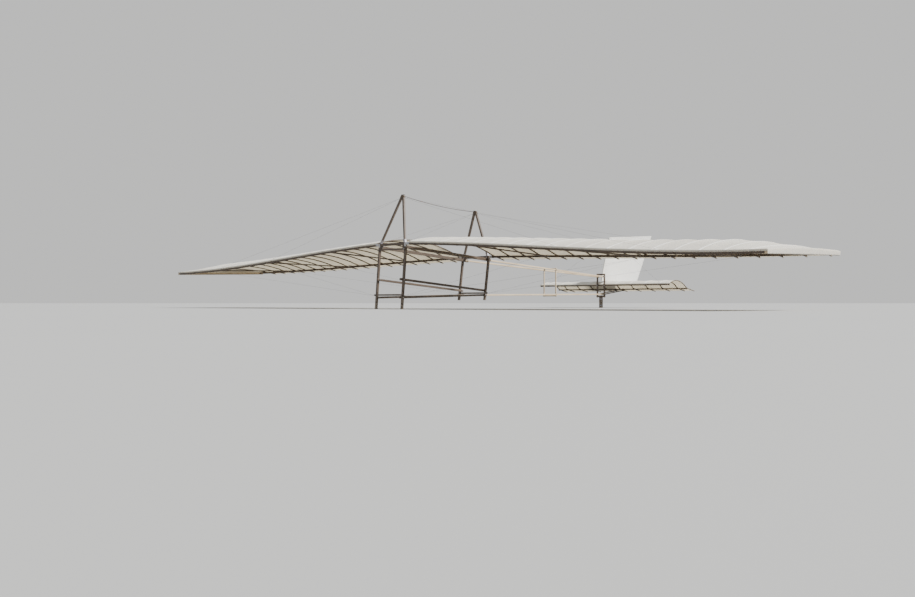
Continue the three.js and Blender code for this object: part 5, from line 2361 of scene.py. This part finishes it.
@dataclass
class BoomFittings(Assembly):
    """Lashings and brackets of the lattice boom and its tail end, given for the left side."""

    rail_way: Point = (-0.048, 1.0, 0.01)
    joints: tuple[tuple[Point, float, float], ...] = (
        ((0.1158, 0.2757, 0.1996), 0.022, 0.016), ((0.1148, 0.2757, 0.6055), 0.016, 0.022))
    joint_half: Pair = (0.008, 0.009)
    stick_brackets: tuple[tuple[float, float, float, float], ...] = (
        (0.1157, 0.2222, 0.0, 1), (0.1148, 0.5826, -0.06, -1))
    stick_y: float = 0.2757
    stick_face: float = 0.0081
    post: Pair = (0.0705, 1.6357)
    tail_bolts: tuple[tuple[Point, Point], ...] = (
        ((0.0806, 1.634, 0.5145), (0.0414, 1.634, 0.5145)),
        ((0.0806, 1.634, 0.224), (0.0414, 1.634, 0.224)),
        ((0.0705, 1.6226, 0.372), (0.0705, 1.6678, 0.372)))
    block_top: float = 0.5664
    post_foot: float = 0.1746
    tail_strut_way: Point = (0, 1, 0.126)
    rail_twine: Turns = Turns(0.0026, 7)
    guys: tuple[tuple[Point, Point], ...] = (
        ((0.009, 2.655, 0.455), (0.84, 2.1757, 0.335)), ((0.009, 1.885, 1.172), (1.12, 1.662, 0.400)))
    skid_band: Band = Band(0.0222, 0.0252, 0.020, 0.0016)
    band_heights: Pair = (0.040, 0.148)

    def build(self) -> None:
        """Place the fittings on both sides."""
        gear = self.gear
        pale, dark = gear.twine[PALE_TWINE], gear.twine[DARK_TWINE]
        post_x, post_y = self.post
        for side in Side:
            at = side.place
            for centre, over, under in self.joints:
                pale += gear.turns.cross(at(centre), (1, 0, 0), at(self.rail_way), self.joint_half,
                    over, under)
            for way in (-1, 1):
                for x, z, slope, up in self.stick_brackets:
                    corner = at((x, self.stick_y + way * self.stick_face, z))
                    gear.bracket(corner, (0, way, slope * way), (0, 0, up), (0.022, 0.022), 0.013, 0.0013)
            for start, end in self.tail_bolts:
                gear.bolt(at(start), at(end))
            for shift in (-0.006, 0.006):
                gear.put(Head.SCREW, at((post_x, post_y + shift, self.block_top)), (0, 0, 1))
            gear.put(Head.BOLT, at((post_x, post_y, self.post_foot)), (0, 0, -1))
            gear.bracket(at((post_x, 1.6489, 0.2176)), self.tail_strut_way, (0, 0, -1),
                (0.030, 0.0115), 0.013)
            dark += gear.turns.cross(at((post_x, 2.1757, 0.3022)), (1, 0, 0), self.tail_strut_way,
                (0.009, 0.008), 0.020, 0.016)
            gear.bracket(at((0.0078, 1.6489, 0.553)), (0, 1, 0), at((1, 0, 0)), (0.034, 0.024), 0.020)
            pale.append(self.rail_twine.coil(at((0.053, 1.585, 0.2234)), at(self.rail_way), ACROSS,
                0.0092, 0.0112))
            for start, end in self.guys:
                gear.wire(at(start), at(end))
        for z in self.band_heights:
            gear.plate(self.skid_band.bent("skid_band", (0, post_y, z), (0, 0, 1), (1, 0, 0)))
            for way in (-1, 1):
                reach = self.skid_band.half_side + self.skid_band.wall
                gear.put(Head.SCREW, (way * reach, post_y, z), (way, 0, 0))


@dataclass
class WingRigging(Assembly):
    """Strut brackets, rib lashings and brace wires of one wing."""

    wing: Wing
    struts: tuple[Point, ...] = ((1.333, 0.7961, 0.7103), (2.775, 0.6892, 0.6663), (4.148, 0.6016, 0.6302))
    strut_face: float = 0.0101
    spar_faces: Pair = (-3.0421, -1.4485)
    lower_joints: tuple[Point, ...] = ((0.2665, -3.114, 0.172), (0.2665, -1.513, 0.212))
    heads: tuple[Point, ...] = ((0.012, -2.872, 1.487), (0.012, -1.4495, 1.368))
    bare_ends: Pair = (0.15, 0.08)
    wire_aside: float = 0.03
    wire_ends: Point = (-0.0165, -0.0152, 0.0135)
    tang: Plate = Plate((0.034, 0.0), 0.016, 0.0014)

    def build(self) -> None:
        """Place the rigging, from the struts outwards, and bind every rib to both spars."""
        gear, at = self.gear, self.wing.side.place
        spars = (self.wing.front_spar, self.wing.rear_spar)
        for x, *heights in self.struts:
            for face, z, way in zip(self.spar_faces, heights, (1, -1)):
                for hand in (-1, 1):
                    gear.bracket(at((x + hand * self.strut_face, face, z)), (0, way, 0), at((hand, 0, 0)),
                        (0.030, 0.022), 0.014)
        for line, joint, head, bare in zip(spars, self.lower_joints, self.heads, self.bare_ends):
            for x, _, _ in self.struts[1:]:
                middle = float(np.interp(x, [abs(p[0]) for p in line], [p[2] for p in line]))
                below, plate, above = (at((x + self.wire_aside, line[0][1], middle + lift))
                    for lift in self.wire_ends)
                gear.wire(at(joint), below)
                gear.plate(self.tang.bent("wire_tang", plate, (1, 0, 0), (0, 0, -1)))
                gear.wire(at(head), above, bare)
        tops = [(x, y, z + self.wing.spar_depth / 2) for line in spars for x, y, z in line[1:-1]]
        self.bind_ribs(f"rib_lashings_{self.wing.side.tag}", tops)


@dataclass
class Studio:
    """Floor, light and camera."""

    eye: Point = (9.78, -12.07, 0.08)
    look: Point = (-0.685, 0.726, 0.0)
    focal_length: float = 39.5
    sensor: float = 36.0
    shift: Pair = (-0.006, 0.0049)
    far: float = 1000.0
    floor_radius: float = 300.0
    floor_corners: int = 64
    sky: Colour = (0.86, 0.90, 0.95)
    sky_light: float = 0.75
    wall: Colour = (0.93, 0.93, 0.92)
    wall_light: float = 0.78
    lit_point: Point = (0, -1.0, 0.6)
    key: tuple[Point, float, float] = ((6.5, 4.0, 9.5), 9.5, 7.0)
    fill: tuple[Point, float, float] = ((6.0, -10.0, 5.0), 0.4, 25.0)

    def build(self, shop: Workshop) -> None:
        """Set the scene up.

        Args:
            shop: the workshop.
        """
        turns = [math.tau * i / self.floor_corners for i in range(self.floor_corners)]
        ring = [(self.floor_radius * math.cos(t), self.floor_radius * math.sin(t), 0.0) for t in turns]
        floor = new_object("floor", mesh_of("floor", ring, (), [tuple(range(self.floor_corners))]))
        dressed(floor, shop.paint(STUDIO_FLOOR))
        self._light("key_light", *self.key)
        self._light("fill_light", *self.fill)
        self._world()
        camera = bpy.data.objects.new("camera", bpy.data.cameras.new("camera"))
        bpy.context.scene.collection.objects.link(camera)
        camera.data.sensor_width = self.sensor
        camera.data.lens = self.focal_length
        camera.data.shift_x, camera.data.shift_y = self.shift
        camera.data.clip_end = self.far
        camera.location = self.eye
        camera.rotation_euler = Vector(self.look).to_track_quat("-Z", "Y").to_euler()
        bpy.context.scene.camera = camera

    def _world(self) -> None:
        """Light from a pale sky, behind which the camera sees a plain wall."""
        world = bpy.context.scene.world or bpy.data.worlds.new("studio")
        bpy.context.scene.world = world
        world.use_nodes = True
        world.node_tree.nodes.clear()
        graph = Graph(world.node_tree)
        seen = graph.add("ShaderNodeLightPath").outputs["Is Camera Ray"]
        glow, wall = (
            graph.add("ShaderNodeBackground", {"Color": (*colour, 1.0), "Strength": power}).outputs[0]
            for colour, power in ((self.sky, self.sky_light), (self.wall, self.wall_light)))
        mixed = graph.add("ShaderNodeMixShader", {0: seen, 1: glow, 2: wall}).outputs[0]
        graph.add("ShaderNodeOutputWorld", {"Surface": mixed})

    def _light(self, name: str, place: Point, power: float, spread: float) -> None:
        """Add one soft light that points at the glider.

        Args:
            name: the light's name.
            place: where it hangs.
            power: its strength.
            spread: the angle in degrees that it fills, which softens its shadows.
        """
        lamp = bpy.data.lights.new(name, "SUN")
        lamp.energy = power
        lamp.angle = math.radians(spread)
        lit = bpy.data.objects.new(name, lamp)
        lit.location = place
        lit.rotation_euler = (Vector(self.lit_point) - Vector(place)).to_track_quat("-Z", "Y").to_euler()
        bpy.context.scene.collection.objects.link(lit)


def main() -> None:
    """Dress the glider and report each piece."""
    logging.basicConfig(level=logging.INFO, format="%(message)s")
    for name in STARTUP_OBJECTS:
        if name in bpy.data.objects:
            bpy.data.objects.remove(bpy.data.objects[name])
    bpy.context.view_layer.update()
    shop = Workshop()
    Studio().build(shop)
    TimberYard().build(shop)
    gear = Hardware(shop)
    for side in Side:
        wing = Wing(gear, side)
        wing.build()
        WingRigging(gear, wing).build()
    Tailplane(gear).build()
    Fin(gear).build()
    stay = MainStay(gear)
    stay.build()
    FrameFittings(gear).build()
    stay.tie()
    BoomFittings(gear).build()
    gear.build()


if __name__ == "__main__":
    main()
